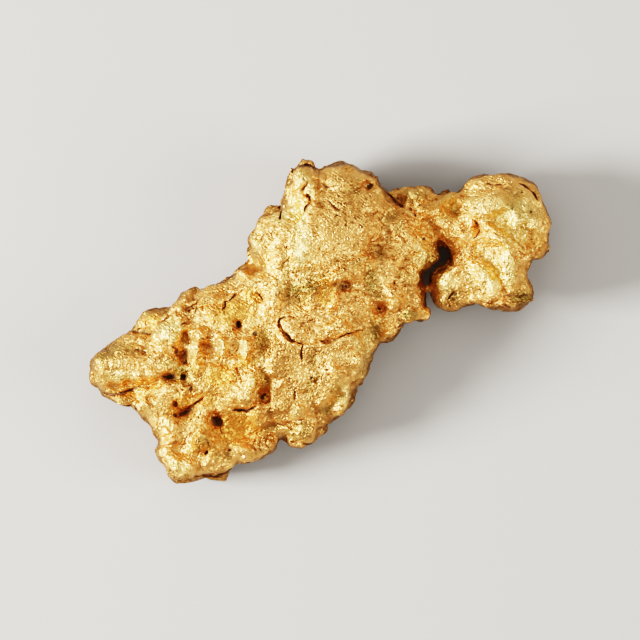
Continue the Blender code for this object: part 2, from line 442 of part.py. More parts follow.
def inflated_body(outline):
    """The plate with its two faces pushed apart to the spot heights. Near the outline each face follows a
    quarter of an ellipse, so the plate's rows of vertices are moved outwards as well as up. Away from the
    rim the sides wander, so that the notches of the outline don't run straight up and down."""
    mesh = outline_plate(outline)
    position = vertices_of(mesh)
    distance, nearest, _, _ = nearest_on_path(position[:, :2], outline, closed=True)
    turning = rim_reach(position[:, :2])
    angle = np.clip((distance - 0.5 * PLATE_GRAIN) / turning, 0.0, 1.0) * math.pi / 2.0
    inset = RIM_INSET + turning * (1.0 - np.cos(angle))
    inward = (position[:, :2] - nearest) / np.maximum(distance, 1e-6)[:, None]
    rounding = distance < turning + 0.5 * PLATE_GRAIN
    position[rounding, :2] = (nearest + inward * inset[:, None])[rounding]
    top, under = spot_levels(position[:, :2])
    level = rim_level(position[:, :2])
    reach = np.where(position[:, 2] > 0.0, top - level, under - level)
    position[:, 2] = level + reach * np.sin(angle)
    wander = np.array([noise.noise_vector(Vector(place) / WANDER_SPAN)[:2] for place in position])
    away_from_rim = np.minimum(1.0, np.abs(position[:, 2] - level) / WANDER_HEIGHT)
    position[:, :2] += WANDER * wander * away_from_rim[:, None]
    set_vertices(mesh, position)
    return mesh


def rim_knobs(outline, chance):
    """Small knobs set along the rim, each reaching the outline, some above and some below its level."""
    knobs = bmesh.new()
    pieces = np.roll(outline, -1, axis=0) - outline
    lengths = np.linalg.norm(pieces, axis=1)
    travelled = np.concatenate([[0.0], np.cumsum(lengths)])
    place = 0.0
    while place < travelled[-1]:
        index = int(np.searchsorted(travelled, place, side="right")) - 1
        direction = pieces[index] / lengths[index]
        inward = np.array([direction[1], -direction[0]])
        radius = chance.uniform(*KNOB_RADIUS)
        rise = chance.uniform(-KNOB_RISE, KNOB_RISE)
        rounding = RIM_REACH * (1.0 - math.sqrt(1.0 - rise ** 2))
        inset = radius + rounding - KNOB_PROUD * min(1.0, abs(rise) / PROUD_FROM)
        middle = outline[index] + direction * (place - travelled[index]) + inward * inset
        place += KNOB_SPACING * chance.uniform(*KNOB_STEP)
        if CLEFT_LOW[0] < middle[0] < CLEFT_HIGH[0] and CLEFT_LOW[1] < middle[1] < CLEFT_HIGH[1]:
            continue
        top, under = spot_levels(middle[None, :])
        rim = float(rim_level(middle[None, :])[0])
        level = rim + rise * (float(top[0]) - rim if rise > 0.0 else rim - float(under[0]))
        stretch = Matrix.Diagonal((1.0, chance.uniform(*KNOB_DEPTH), chance.uniform(*KNOB_HEIGHT), 1.0))
        turn = Matrix.Rotation(math.atan2(direction[1], direction[0]), 4, "Z")
        at = Matrix.Translation((middle[0], middle[1], level))
        bmesh.ops.create_icosphere(knobs, subdivisions=2, radius=radius, matrix=at @ turn @ stretch)
    return knobs


def fused_body():
    """The inflated outline and its rim knobs as one skin."""
    outline = closed_curve(OUTLINE, CURVE_STEPS)
    chance = random.Random(SEED)
    knobs = rim_knobs(outline, chance)
    knobs.from_mesh(inflated_body(outline))
    mesh = bpy.data.meshes.new("body and knobs")
    knobs.to_mesh(mesh)
    knobs.free()
    return remeshed(mesh, FUSE_GRAIN, FUSE_SMOOTHING)


def bump_shape(points, bump, fullness):
    """1 at the bump's middle, 0 at its rim and beyond. A fullness of 0.5 is a round dome with a crisp foot,
    and larger values are softer."""
    turn = math.radians(bump.turn)
    offset = points - (bump.x, bump.y)
    along = (offset[:, 0] * math.cos(turn) + offset[:, 1] * math.sin(turn)) / bump.along
    across = (offset[:, 1] * math.cos(turn) - offset[:, 0] * math.sin(turn)) / bump.across
    return np.clip(1.0 - (along ** 2 + across ** 2) / BUMP_SPREAD ** 2, 0.0, 1.0) ** fullness


def path_ends(along):
    """1 along a path and 0 at both of its ends."""
    return smooth_step(0.0, PATH_FADE, along) * smooth_step(0.0, PATH_FADE, 1.0 - along)


def crease_shape(points, crease):
    """1 on the crease's path and 0 at its width, shallower at both ends."""
    distance, _, _, along = nearest_on_path(points, crease.path)
    ends = CREASE_END + (1.0 - CREASE_END) * path_ends(along)
    return np.clip(1.0 - distance / crease.width, 0.0, 1.0) ** CREASE_SHARPNESS * ends


def ledge_shape(points, ledge):
    """The raised side of a ledge: steep at its path, falling away over its reach, lower at both ends."""
    distance, _, side, along = nearest_on_path(points, ledge.path)
    signed = distance * np.sign(side)
    return (smooth_step(*LEDGE_FACE, signed) * (1.0 - smooth_step(LEDGE_CREST, ledge.reach, signed))
            * path_ends(along))


def top_relief(points):
    """How far each point of the top is raised (positive) or sunk (negative), in millimetres."""
    height = np.zeros(len(points))
    for bump in TIP_LUMPS + LEFT_BODY_LUMPS + CENTRE_LUMPS + NECK_LUMPS + RIGHT_LOBE_LUMPS:
        height += bump.rise * bump_shape(points, bump, LUMP_FULLNESS)
    for bump in LEFT_BODY_HOLLOWS + CENTRE_HOLLOWS + RIGHT_LOBE_HOLLOWS:
        height += bump.rise * bump_shape(points, bump, HOLLOW_FULLNESS)
    for crease in CREASES:
        height -= crease.depth * crease_shape(points, crease)
    for ledge in LEDGES:
        height += ledge.rise * ledge_shape(points, ledge)
    return height


def underside_relief(points, chance):
    """Seeded dents of many sizes for the underside."""
    height = np.zeros(len(points))
    low = points.min(axis=0)
    high = points.max(axis=0)
    for _ in range(DENT_COUNT):
        radius = chance.uniform(*DENT_RADIUS)
        dent = Bump(chance.uniform(low[0], high[0]), chance.uniform(low[1], high[1]), radius,
                    radius * chance.uniform(*DENT_ROUNDNESS), -chance.uniform(*DENT_DEPTH),
                    chance.uniform(0.0, 180.0))
        height += dent.rise * bump_shape(points, dent, HOLLOW_FULLNESS)
    return height


def cell_domes(positions, size, rise):
    """Rounded lumps packed side by side, with crisp creases where they meet, over every side of the body."""
    heights = []
    for position in positions:
        place = Vector(position) / size
        place += CELL_WANDER * noise.noise_vector(place / CELL_WANDER_SPAN)
        nearest = noise.voronoi(place)[0][0]
        heights.append(math.sqrt(max(0.0, 1.0 - CELL_ROUNDNESS * nearest * nearest)))
    return rise * (np.array(heights) - CELL_MEAN)


def random_swell(positions):
    """A broad seeded unevenness for every side."""
    field = np.array([noise.noise(Vector(position) / SWELL_SPAN) for position in positions])
    return 2.0 * SWELL_HEIGHT * field


def lumpiness(points):
    """How strongly the packed lumps show: fully on most of the top, and little on its worn places."""
    weight = np.ones(len(points))
    for x, y, spread, calm in SMOOTH_PLACES:
        distance_squared = (points[:, 0] - x) ** 2 + (points[:, 1] - y) ** 2
        weight *= 1.0 - calm * np.exp(-distance_squared / (2.0 * spread ** 2))
    return weight


def wear_flats(position, normal):
    """Swells the feet down and wears them off at Z = 0, and keeps the rest clear of the ground."""
    worn = np.zeros(len(position))
    swell = np.zeros(len(position))
    uneven = FOOT_UNEVENNESS * np.array([noise.noise(Vector((x / FOOT_SPAN, y / FOOT_SPAN, FOOT_SLICE)))
                                         for x, y, _ in position])
    for flat in FLATS:
        turn = math.radians(flat.turn)
        offset = position[:, :2] - (flat.x, flat.y)
        along = (offset[:, 0] * math.cos(turn) + offset[:, 1] * math.sin(turn)) / flat.along
        across = (offset[:, 1] * math.cos(turn) - offset[:, 0] * math.sin(turn)) / flat.across
        distance = np.hypot(along, across) + uneven
        worn = np.maximum(worn, 1.0 - smooth_step(*FLAT_EDGE, distance))
        swell = np.maximum(swell, 1.0 - smooth_step(FOOT_CORE, FOOT_SPREAD, distance))
    not_under = (normal[:, 2] > 0.0) | (position[:, 2] > FOOT_TOP)
    worn[not_under] = 0.0
    swell[not_under] = 0.0
    position[:, 2] = np.maximum(position[:, 2] - FOOT_SWELL * swell, GROUND_CLEARANCE) * (1.0 - worn)


def sculpt(mesh):
    """Works the fused body: the top's own relief, the underside's dents, a random swell and packed lumps."""
    position = vertices_of(mesh)
    flat = np.empty(len(mesh.vertices) * 3, dtype=np.float32)
    mesh.vertices.foreach_get("normal", flat)
    normal = flat.reshape(-1, 3).astype(float)
    up = smooth_step(*TOP_SLOPE, normal[:, 2])
    down = smooth_step(*UNDER_SLOPE, -normal[:, 2])
    level = np.abs(normal[:, 2])
    relief = top_relief(position[:, :2])
    outward = np.where(relief > 0.0, relief * up, 0.0)
    sunk = np.where(relief < 0.0, relief * up, 0.0)
    dents = underside_relief(position[:, :2], random.Random(SEED + 1)) * down
    swell = random_swell(position) * (1.0 - (1.0 - SWELL_ON_TOP) * up)
    swell *= SWELL_ON_SIDES + (1.0 - SWELL_ON_SIDES) * level
    cells = cell_domes(position, COARSE_CELL, COARSE_CELL_RISE)
    cells += cell_domes(position, FINE_CELL, FINE_CELL_RISE)
    strength = 1.0 - up * (1.0 - CELLS_ON_TOP * lumpiness(position[:, :2]))
    strength *= CELLS_ON_SIDES + (1.0 - CELLS_ON_SIDES) * level
    position += normal * (outward + dents + swell + cells * strength)[:, None]
    position[:, 2] += sunk
    wear_flats(position, normal)
    set_vertices(mesh, position)


def lightened(mesh):
    """The sculpted surface reduced to the triangles it needs."""
    mesh.calc_loop_triangles()
    thing = bpy.data.objects.new("sculpted", mesh)
    bpy.context.scene.collection.objects.link(thing)
    reduce = thing.modifiers.new("reduce", "DECIMATE")
    reduce.ratio = TRIANGLES / len(mesh.loop_triangles)
    reduce.use_collapse_triangulate = True
    return finished_mesh(thing, "light surface")


def settle_flats(mesh):
    """Puts the worn flats back on Z = 0 exactly, where the reduction has lifted them by a hair."""
    position = vertices_of(mesh)
    position[position[:, 2] < 0.5 * GROUND_CLEARANCE, 2] = 0.0
    set_vertices(mesh, position)


def native_gold():
    """Worn native gold: a rough, warm yellow metal."""
    material = bpy.data.materials.new("native gold")
    material.use_nodes = True
    shader = material.node_tree.nodes["Principled BSDF"]
    shader.inputs["Base Color"].default_value = GOLD_COLOUR
    shader.inputs["Metallic"].default_value = 1.0
    shader.inputs["Roughness"].default_value = GOLD_ROUGHNESS
    material.diffuse_color = GOLD_COLOUR
    return material


def build_nugget(collection):
    """The whole nugget, standing on Z = 0 with the middle of its box over the origin."""
    mesh = fused_body()
    sculpt(mesh)
    mesh = lightened(mesh)
    settle_flats(mesh)
    position = vertices_of(mesh)
    middle = (position.min(axis=0) + position.max(axis=0)) / 2.0
    mesh.transform(Matrix.Scale(MM, 4) @ Matrix.Translation((-middle[0], -middle[1], 0.0)))
    mesh.name = "nugget"
    mesh.materials.clear()
    mesh.materials.append(native_gold())
    mesh.shade_smooth()
    mesh.set_sharp_from_angle(angle=math.radians(SHARP_EDGE))
    nugget = bpy.data.objects.new("nugget", mesh)
    collection.objects.link(nugget)
    return nugget


def main():
    for thing in list(bpy.data.objects):
        bpy.data.objects.remove(thing)
    noise.seed_set(SEED)
    collection = bpy.data.collections.new("gold nugget")
    bpy.context.scene.collection.children.link(collection)
    build_nugget(collection)


main()
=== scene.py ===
# %% [markdown]
# # A gold nugget
# A nugget is one lump of native gold that a river has rolled and worn. It has no parts to put together:
# everything the eye enjoys is in its skin. That skin is worked here from large to small: first the crests,
# pits and cracks, each at its own place, then the grain that covers everything, and last the films and the
# earth that give high and low places their colour.
# The solid model already has the lump, its lobes and its ledges at their true size. It could be shown as it
# is, but its faces are over half a millimetre wide, so this lesson lays a fine skin over it and sculpts that.

# %% The tools and the solid
from collections import namedtuple
import json
import math

import bmesh
import bpy
import numpy as np
from mathutils import Matrix, Vector

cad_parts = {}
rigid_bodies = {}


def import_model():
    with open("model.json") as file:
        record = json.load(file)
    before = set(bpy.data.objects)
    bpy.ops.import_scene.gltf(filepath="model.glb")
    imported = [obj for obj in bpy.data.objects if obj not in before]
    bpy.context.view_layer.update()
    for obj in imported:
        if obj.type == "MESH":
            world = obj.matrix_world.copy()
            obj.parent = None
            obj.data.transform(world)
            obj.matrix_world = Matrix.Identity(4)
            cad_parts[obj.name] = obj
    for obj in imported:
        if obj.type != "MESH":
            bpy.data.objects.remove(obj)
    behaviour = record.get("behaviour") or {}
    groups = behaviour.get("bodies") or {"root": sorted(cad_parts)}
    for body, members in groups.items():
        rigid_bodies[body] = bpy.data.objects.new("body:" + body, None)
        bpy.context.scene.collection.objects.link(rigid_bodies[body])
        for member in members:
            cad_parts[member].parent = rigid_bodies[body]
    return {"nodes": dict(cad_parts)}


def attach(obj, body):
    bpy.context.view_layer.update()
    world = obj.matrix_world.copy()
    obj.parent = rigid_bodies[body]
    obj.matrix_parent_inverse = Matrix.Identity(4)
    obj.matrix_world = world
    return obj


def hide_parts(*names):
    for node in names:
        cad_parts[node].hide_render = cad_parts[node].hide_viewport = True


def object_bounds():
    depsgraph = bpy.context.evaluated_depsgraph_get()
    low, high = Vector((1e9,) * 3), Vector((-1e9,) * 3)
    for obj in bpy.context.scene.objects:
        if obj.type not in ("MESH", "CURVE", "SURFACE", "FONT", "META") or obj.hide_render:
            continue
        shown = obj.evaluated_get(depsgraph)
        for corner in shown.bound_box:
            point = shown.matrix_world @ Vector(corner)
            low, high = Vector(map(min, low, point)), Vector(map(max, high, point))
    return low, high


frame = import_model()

cad_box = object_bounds()
MM = 0.001
print("solid model, mm:", [[round(value / MM, 2) for value in corner] for corner in cad_box])

# %% [markdown]
# ## The skin
# All sculpting is done on a copy that is a thousand times larger, so that one unit is one millimetre and
# every number below can be read off a ruler. A voxel remesh gives even faces, fine enough for a crack a
# fifth of a millimetre wide. Subdividing the solid alone would leave long thin faces in some places and
# wide ones in others, and small forms would come out better here and worse there. The solid is subdivided
# before the remesh all the same, because that rounds its flat faces.

# %% A fine, even skin over the solid
SKIN_GRAIN = 0.085
SKIN_ROUNDING = 2           # rounds of subdivision before the remesh
SKIN_SOFTENING = 5          # rounds of smoothing after it
WELD_REACH = 0.0005         # corners closer than this are one point, in mm


def finished_mesh(thing, name):
    """The object's mesh as its modifiers leave it; the object itself is removed."""
    graph = bpy.context.evaluated_depsgraph_get()
    mesh = bpy.data.meshes.new_from_object(thing.evaluated_get(graph))
    mesh.name = name
    bpy.data.objects.remove(thing)
    return mesh


def fine_skin(node):
    """An even closed skin over the node's solid, at one unit to the millimetre."""
    mesh = node.data.copy()
    mesh.materials.clear()
    mesh.transform(Matrix.Scale(1.0 / MM, 4))
    weld = bmesh.new()
    weld.from_mesh(mesh)
    bmesh.ops.remove_doubles(weld, verts=weld.verts, dist=WELD_REACH)
    weld.to_mesh(mesh)
    weld.free()
    thing = bpy.data.objects.new("skin", mesh)
    bpy.context.scene.collection.objects.link(thing)
    round_off = thing.modifiers.new("round off", "SUBSURF")
    round_off.levels = SKIN_ROUNDING
    round_off.render_levels = SKIN_ROUNDING
    even_out = thing.modifiers.new("even out", "REMESH")
    even_out.mode = "VOXEL"
    even_out.voxel_size = SKIN_GRAIN
    soften = thing.modifiers.new("soften", "SMOOTH")
    soften.factor = 0.5
    soften.iterations = SKIN_SOFTENING
    return finished_mesh(thing, "skin")


skin = fine_skin(frame["nodes"]["nugget"])
print("skin:", len(skin.vertices), "points,", len(skin.polygons), "faces")

# %% [markdown]
# ## Places on the nugget
# Every form below has a place, in millimetres, seen from above. The places are counted from a datum near
# the middle of the nugget. A soft step, an oval and a path turn places into shapes. They work on all points
# of the skin at once with numpy, which is quick enough for hundreds of forms.

# %% Ovals, paths and soft steps
DATUM = np.array([-0.030, 0.092])       # in mm from the middle of the solid's box


def soft_step(low, high, value):
    """0 below low, 1 above high, and a smooth ramp between them."""
    t = np.clip((value - low) / (high - low), 0.0, 1.0)
    return t * t * (3.0 - 2.0 * t)


def oval_distance(points, x, y, along, across, turn):
    """0 at the middle of an oval, 1 on its edge, and more outside."""
    angle = math.radians(turn)
    dx = points[:, 0] - x
    dy = points[:, 1] - y
    u = (dx * math.cos(angle) + dy * math.sin(angle)) / along
    v = (dy * math.cos(angle) - dx * math.sin(angle)) / across
    return np.hypot(u, v)


def path_distance(points, path):
    """For each point its distance to a path, its side (positive on the left hand) and the share travelled."""
    corners = np.array(path, dtype=float)
    pieces = np.diff(corners, axis=0)
    lengths = np.linalg.norm(pieces, axis=1)
    travelled = np.concatenate([[0.0], np.cumsum(lengths)])
    best = np.full(len(points), np.inf)
    side = np.ones(len(points))
    share = np.zeros(len(points))
    for start, piece, length, done in zip(corners, pieces, lengths, travelled):
        offset = points - start
        t = np.clip(offset @ piece / length, 0.0, length)
        away = np.hypot(*(offset - (t / length)[:, None] * piece).T)
        closer = away < best
        best[closer] = away[closer]
        side[closer] = np.sign(piece[0] * offset[closer, 1] - piece[1] * offset[closer, 0])
        share[closer] = (done + t[closer]) / travelled[-1]
    return best, side, share


PATH_FADE = 0.12            # a form along a path fades in and out over this share of its length


def path_ends(share):
    """1 along a path, falling to 0 at both of its ends."""
    return soft_step(0.0, PATH_FADE, share) * soft_step(0.0, PATH_FADE, 1.0 - share)


def near(points, path, reach):
    """The points within reach of the box around a path: nothing further off needs working out."""
    corners = np.array(path, dtype=float)
    low = corners.min(axis=0) - reach
    high = corners.max(axis=0) + reach
    return np.flatnonzero(np.all((points > low) & (points < high), axis=1))


def points_of(mesh, what="co"):
    """The mesh's points, or their normals, as one row each."""
    flat = np.empty(len(mesh.vertices) * 3, dtype=np.float32)
    mesh.vertices.foreach_get(what, flat)
    return flat.reshape(-1, 3).astype(float)


def move_points(mesh, positions):
    mesh.vertices.foreach_set("co", positions.astype(np.float32).ravel())
    mesh.update()


print("datum, mm from the middle of the box:", DATUM)

# %% [markdown]
# A true oval or an even line gives a made thing away. So before any form is placed, the places themselves
# are shifted a little by a random field. Everything placed on them then has an outline that wanders. The
# field is a grid of seeded random numbers with soft steps between them, the plainest noise there is.

# %% Noise, and places that wander
NOISE_GRID = 64
WANDERS = [(1.9, 0.16), (0.8, 0.10), (0.34, 0.05)]      # size of the patches and how far they shift, in mm


def noise(points, size, seed):
    """A seeded random field from -1 to 1 that changes over `size` millimetres, for points seen from above."""
    grid = np.random.default_rng(seed).uniform(-1.0, 1.0, (NOISE_GRID, NOISE_GRID))
    cell = points[:, :2] / size
    corner = np.floor(cell).astype(int)
    part = soft_step(0.0, 1.0, cell - corner)
    x, y = corner[:, 0] % NOISE_GRID, corner[:, 1] % NOISE_GRID
    next_x, next_y = (x + 1) % NOISE_GRID, (y + 1) % NOISE_GRID
    low = grid[x, y] * (1.0 - part[:, 0]) + grid[next_x, y] * part[:, 0]
    high = grid[x, next_y] * (1.0 - part[:, 0]) + grid[next_x, next_y] * part[:, 0]
    return low * (1.0 - part[:, 1]) + high * part[:, 1]


def places_of(position):
    """Where the points lie as seen from above, counted from the datum and wandering a little."""
    places = position[:, :2] - DATUM
    shifts = [np.stack([noise(places, size, 2 * n), noise(places, size, 2 * n + 1)], axis=1) * shift
              for n, (size, shift) in enumerate(WANDERS)]
    return places + sum(shifts)


print("places wander by up to, mm:", sum(shift for _, shift in WANDERS))

# %% [markdown]
# ## Crests
# Native gold doesn't weather into round pebbles. It is soft, so blows push it into facets that meet in
# crests, with a steep face on one side and a long one on the other. A crest is written as a path with its
# rise and with how far it falls to each side. Straight falls keep the facets flat. Walking along the path,
# `left` is the fall on the left hand. Two long steep ones of the round lobe line the cleft beside the neck.

# %% Crests of the thumb-like tip and the left body
Crest = namedtuple("Crest", "rise left right path")
CREST_END = 0.35            # share of its rise that is left at both ends

TIP_CRESTS = [
    Crest(0.60, 1.4, 1.9, [(-18.4, -3.3), (-16.6, -3.1), (-14.8, -2.9), (-13.2, -3.0)]),
    Crest(0.25, 0.5, 0.5, [(-17.6, -5.0), (-17.3, -4.4), (-17.2, -3.9)]),
    Crest(0.25, 0.6, 0.5, [(-15.9, -5.2), (-15.7, -4.6), (-15.8, -4.0)]),
    Crest(0.30, 0.6, 0.6, [(-14.6, -4.9), (-14.4, -4.2), (-14.6, -3.6)]),
    Crest(0.25, 0.6, 0.6, [(-13.4, -4.6), (-13.2, -3.9), (-13.4, -3.3)]),
    Crest(0.25, 0.9, 0.5, [(-16.0, -2.3), (-15.0, -1.5), (-14.4, -1.1)]),
]
LEFT_BODY_CRESTS = [
    Crest(0.60, 0.8, 0.5, [(-7.85, -3.1), (-7.75, -2.3), (-7.95, -1.4)]),
    Crest(0.60, 0.9, 0.5, [(-6.0, -3.1), (-5.65, -2.3), (-5.8, -1.3)]),
    Crest(0.40, 0.5, 0.9, [(-9.95, -3.9), (-9.85, -2.8), (-9.8, -1.6), (-10.4, -0.8)]),
    Crest(0.30, 0.6, 0.5, [(-9.9, -2.6), (-9.2, -2.75), (-8.6, -2.8)]),
    Crest(0.45, 0.7, 0.5, [(-5.6, -5.6), (-5.3, -5.0), (-5.35, -4.4)]),
    Crest(0.30, 0.35, 0.5, [(-7.0, -6.6), (-7.3, -6.1), (-7.7, -5.7)]),
    Crest(0.40, 0.5, 0.9, [(-10.4, -10.1), (-10.0, -9.5), (-9.5, -9.15), (-8.9, -9.3)]),
    Crest(0.25, 1.2, 0.9, [(-3.9, -0.1), (-3.7, 0.9), (-3.5, 1.9), (-3.2, 2.8)]),
    Crest(0.45, 0.5, 1.4, [(-3.95, -4.8), (-3.75, -3.8), (-3.75, -2.8), (-3.7, -1.8)]),
    Crest(0.40, 0.6, 0.4, [(-5.3, -8.3), (-4.95, -7.8), (-5.3, -7.4)]),
    Crest(0.30, 0.4, 0.5, [(-5.8, -9.4), (-5.0, -8.6), (-4.3, -8.1), (-4.5, -7.4), (-5.2, -7.0)]),
    Crest(0.60, 2.0, 0.35, [(-11.7, -2.0), (-11.1, -1.4), (-10.9, -0.6), (-11.2, 0.2)]),
    Crest(0.30, 0.7, 0.6, [(-12.7, 0.2), (-11.6, 0.9), (-10.7, 1.9), (-9.9, 2.6)]),
    Crest(0.25, 0.6, 0.4, [(-9.0, -0.6), (-8.6, 0.1), (-8.7, 0.7)]),
    Crest(0.30, 0.5, 0.5, [(-12.6, -5.3), (-11.6, -5.15), (-10.8, -5.2)]),
    Crest(0.30, 0.5, 0.6, [(-11.3, -6.5), (-11.0, -5.9), (-10.5, -5.5)]),
    Crest(0.35, 0.4, 0.5, [(-14.2, -7.9), (-14.4, -7.2), (-14.8, -6.4)]),
    Crest(0.30, 0.5, 0.5, [(-13.1, -8.9), (-13.2, -8.1), (-13.6, -7.2), (-13.9, -6.4)]),
    Crest(0.30, 0.6, 0.6, [(-12.2, -10.9), (-12.3, -10.3), (-12.0, -9.8)]),
    Crest(0.30, 0.7, 0.6, [(-10.6, -12.4), (-10.2, -11.9), (-10.2, -11.3)]),
    Crest(0.25, 0.7, 0.5, [(-11.8, -12.4), (-11.5, -11.7), (-11.6, -11.1)]),
    Crest(0.25, 0.4, 0.5, [(-9.2, -11.6), (-8.8, -11.2), (-8.8, -10.9)]),
    Crest(0.30, 0.7, 0.5, [(-6.0, -11.2), (-5.6, -10.5), (-5.6, -9.9)]),
    Crest(0.30, 0.5, 0.7, [(-8.2, -7.1), (-7.6, -7.4), (-7.3, -7.9)]),
    Crest(0.30, 0.7, 0.5, [(-9.8, -4.2), (-9.4, -3.7), (-9.3, -3.4)]),
    Crest(0.30, 0.6, 0.5, [(-6.1, -4.9), (-5.3, -4.2), (-4.9, -3.7)]),
]
print("crests of the tip and the left body:", len(TIP_CRESTS) + len(LEFT_BODY_CRESTS))

# %% Crests of the high middle and the round lobe
CENTRE_CRESTS = [
    Crest(0.38, 1.4, 2.2, [(-1.5, 4.0), (-0.9, 5.3), (-0.6, 6.6), (-0.6, 8.0), (-0.9, 9.2)]),
    Crest(0.30, 0.8, 0.7, [(-3.1, 3.2), (-3.3, 4.6), (-3.0, 6.2), (-2.3, 7.4)]),
    Crest(0.30, 0.8, 0.6, [(-1.9, 10.2), (-1.3, 11.0), (-0.9, 12.0)]),
    Crest(0.30, 0.7, 0.6, [(-2.4, 8.6), (-1.7, 9.4), (-1.4, 10.2)]),
    Crest(0.25, 0.8, 0.5, [(-5.0, 5.8), (-4.4, 6.8), (-3.6, 7.6)]),
    Crest(0.35, 0.5, 0.9, [(5.7, 1.0), (5.5, 1.9), (5.05, 2.8)]),
    Crest(0.25, 0.25, 0.35, [(5.8, 4.3), (6.2, 5.0)]),
    Crest(0.30, 0.3, 0.6, [(1.0, 0.9), (1.15, 1.6), (1.35, 2.1)]),
    Crest(0.40, 0.45, 0.9, [(1.4, -7.2), (1.95, -6.6), (2.0, -5.9), (1.75, -5.4)]),
    Crest(0.22, 0.6, 0.5, [(1.1, -4.5), (1.3, -4.1), (1.1, -3.6)]),
    Crest(0.22, 0.5, 0.5, [(2.95, -3.8), (3.0, -3.2), (2.8, -2.8)]),
    Crest(0.40, 0.5, 0.7, [(-2.1, -7.8), (-1.75, -7.3), (-1.65, -6.6)]),
    Crest(0.25, 0.8, 0.5, [(-0.9, 0.6), (-0.6, 1.3), (-0.7, 2.1)]),
    Crest(0.20, 0.9, 0.9, [(0.4, -0.9), (1.2, -0.55), (2.0, -0.1)]),
    Crest(0.25, 0.5, 0.6, [(1.4, -0.1), (1.8, 0.2), (1.9, 0.6)]),
    Crest(0.20, 0.5, 0.7, [(-0.2, -6.9), (0.3, -6.3), (0.6, -5.8)]),
    Crest(0.25, 0.7, 0.4, [(-3.3, -5.7), (-3.1, -5.2), (-2.6, -4.95)]),
    Crest(0.25, 0.8, 0.6, [(1.0, 12.1), (2.4, 12.2), (3.6, 11.5), (4.3, 10.7)]),
]
RIGHT_LOBE_CRESTS = [
    Crest(0.40, 1.7, 0.8, [(14.9, 1.9), (15.4, 3.0), (15.5, 4.2), (15.4, 5.4), (14.9, 6.3), (14.0, 7.0),
                           (13.3, 7.3)]),
    Crest(0.25, 1.4, 0.9, [(14.5, 2.1), (13.6, 3.3), (12.4, 4.4)]),
    Crest(0.25, 0.5, 0.4, [(16.6, 8.5), (16.6, 9.3), (16.4, 10.0)]),
    Crest(0.25, 0.5, 0.4, [(17.3, 7.8), (17.3, 8.5), (17.0, 9.0)]),
    Crest(0.30, 0.8, 0.6, [(11.6, 8.1), (11.4, 8.9), (11.9, 9.6), (13.0, 9.9)]),
    Crest(0.30, 1.0, 0.6, [(13.0, 8.2), (14.2, 8.7), (14.7, 9.3), (14.2, 10.0)]),
    Crest(0.30, 0.5, 0.4, [(16.5, 5.2), (16.3, 5.9), (16.0, 6.4)]),
    Crest(0.30, 0.6, 0.5, [(15.4, 7.3), (15.7, 8.0), (15.5, 8.7)]),
    Crest(0.30, 0.6, 0.5, [(11.1, 6.3), (11.4, 6.9), (11.2, 7.6)]),
    Crest(0.70, 1.1, 0.35, [(7.9, 0.6), (8.1, 1.8), (8.0, 2.9), (7.9, 3.9), (8.5, 4.9), (8.9, 6.0)]),
    Crest(0.50, 0.35, 1.0, [(9.4, 2.0), (9.5, 3.4), (10.3, 4.2), (11.0, 5.0), (10.9, 5.8)]),
    Crest(0.25, 0.5, 0.5, [(10.9, 1.4), (11.3, 2.0), (10.9, 2.6)]),
    Crest(0.25, 0.6, 0.6, [(9.2, 8.6), (9.8, 9.2), (10.2, 9.9)]),
    Crest(0.40, 0.6, 0.6, [(10.6, 9.7), (10.9, 9.1), (11.2, 8.5)]),
]
print("crests of the middle and the round lobe:", len(CENTRE_CRESTS) + len(RIGHT_LOBE_CRESTS))

# %% How crests lift the skin
ALL_CRESTS = TIP_CRESTS + LEFT_BODY_CRESTS + CENTRE_CRESTS + RIGHT_LOBE_CRESTS


def crest_shape(points, crest):
    """1 on the crest, falling in straight facets to each side and towards both ends."""
    away, side, share = path_distance(points, crest.path)
    fall = np.where(side > 0.0, away / crest.left, away / crest.right)
    return np.clip(1.0 - fall, 0.0, 1.0) * (CREST_END + (1.0 - CREST_END) * path_ends(share))


def crest_relief(points):
    """How far the crests raise each point."""
    relief = np.zeros(len(points))
    for crest in ALL_CRESTS:
        close = near(points, crest.path, max(crest.left, crest.right))
        relief[close] += crest.rise * crest_shape(points[close], crest)
    return relief


print("crests:", len(ALL_CRESTS))

# %% [markdown]
# ## Pits
# A pit is where a quartz grain or a bit of ironstone sat in the gold and dropped out. Its walls are steep
# and its floor is nearly flat, and dark earth packs into it. So each pit has an oval, a depth, a turn in
# degrees, and how much of its floor the earth covers, from 0 to 1. Its edge is ragged, because an even
# oval would look drilled.

# %% Pits of the left body
Pit = namedtuple("Pit", "x y along across depth turn earth")

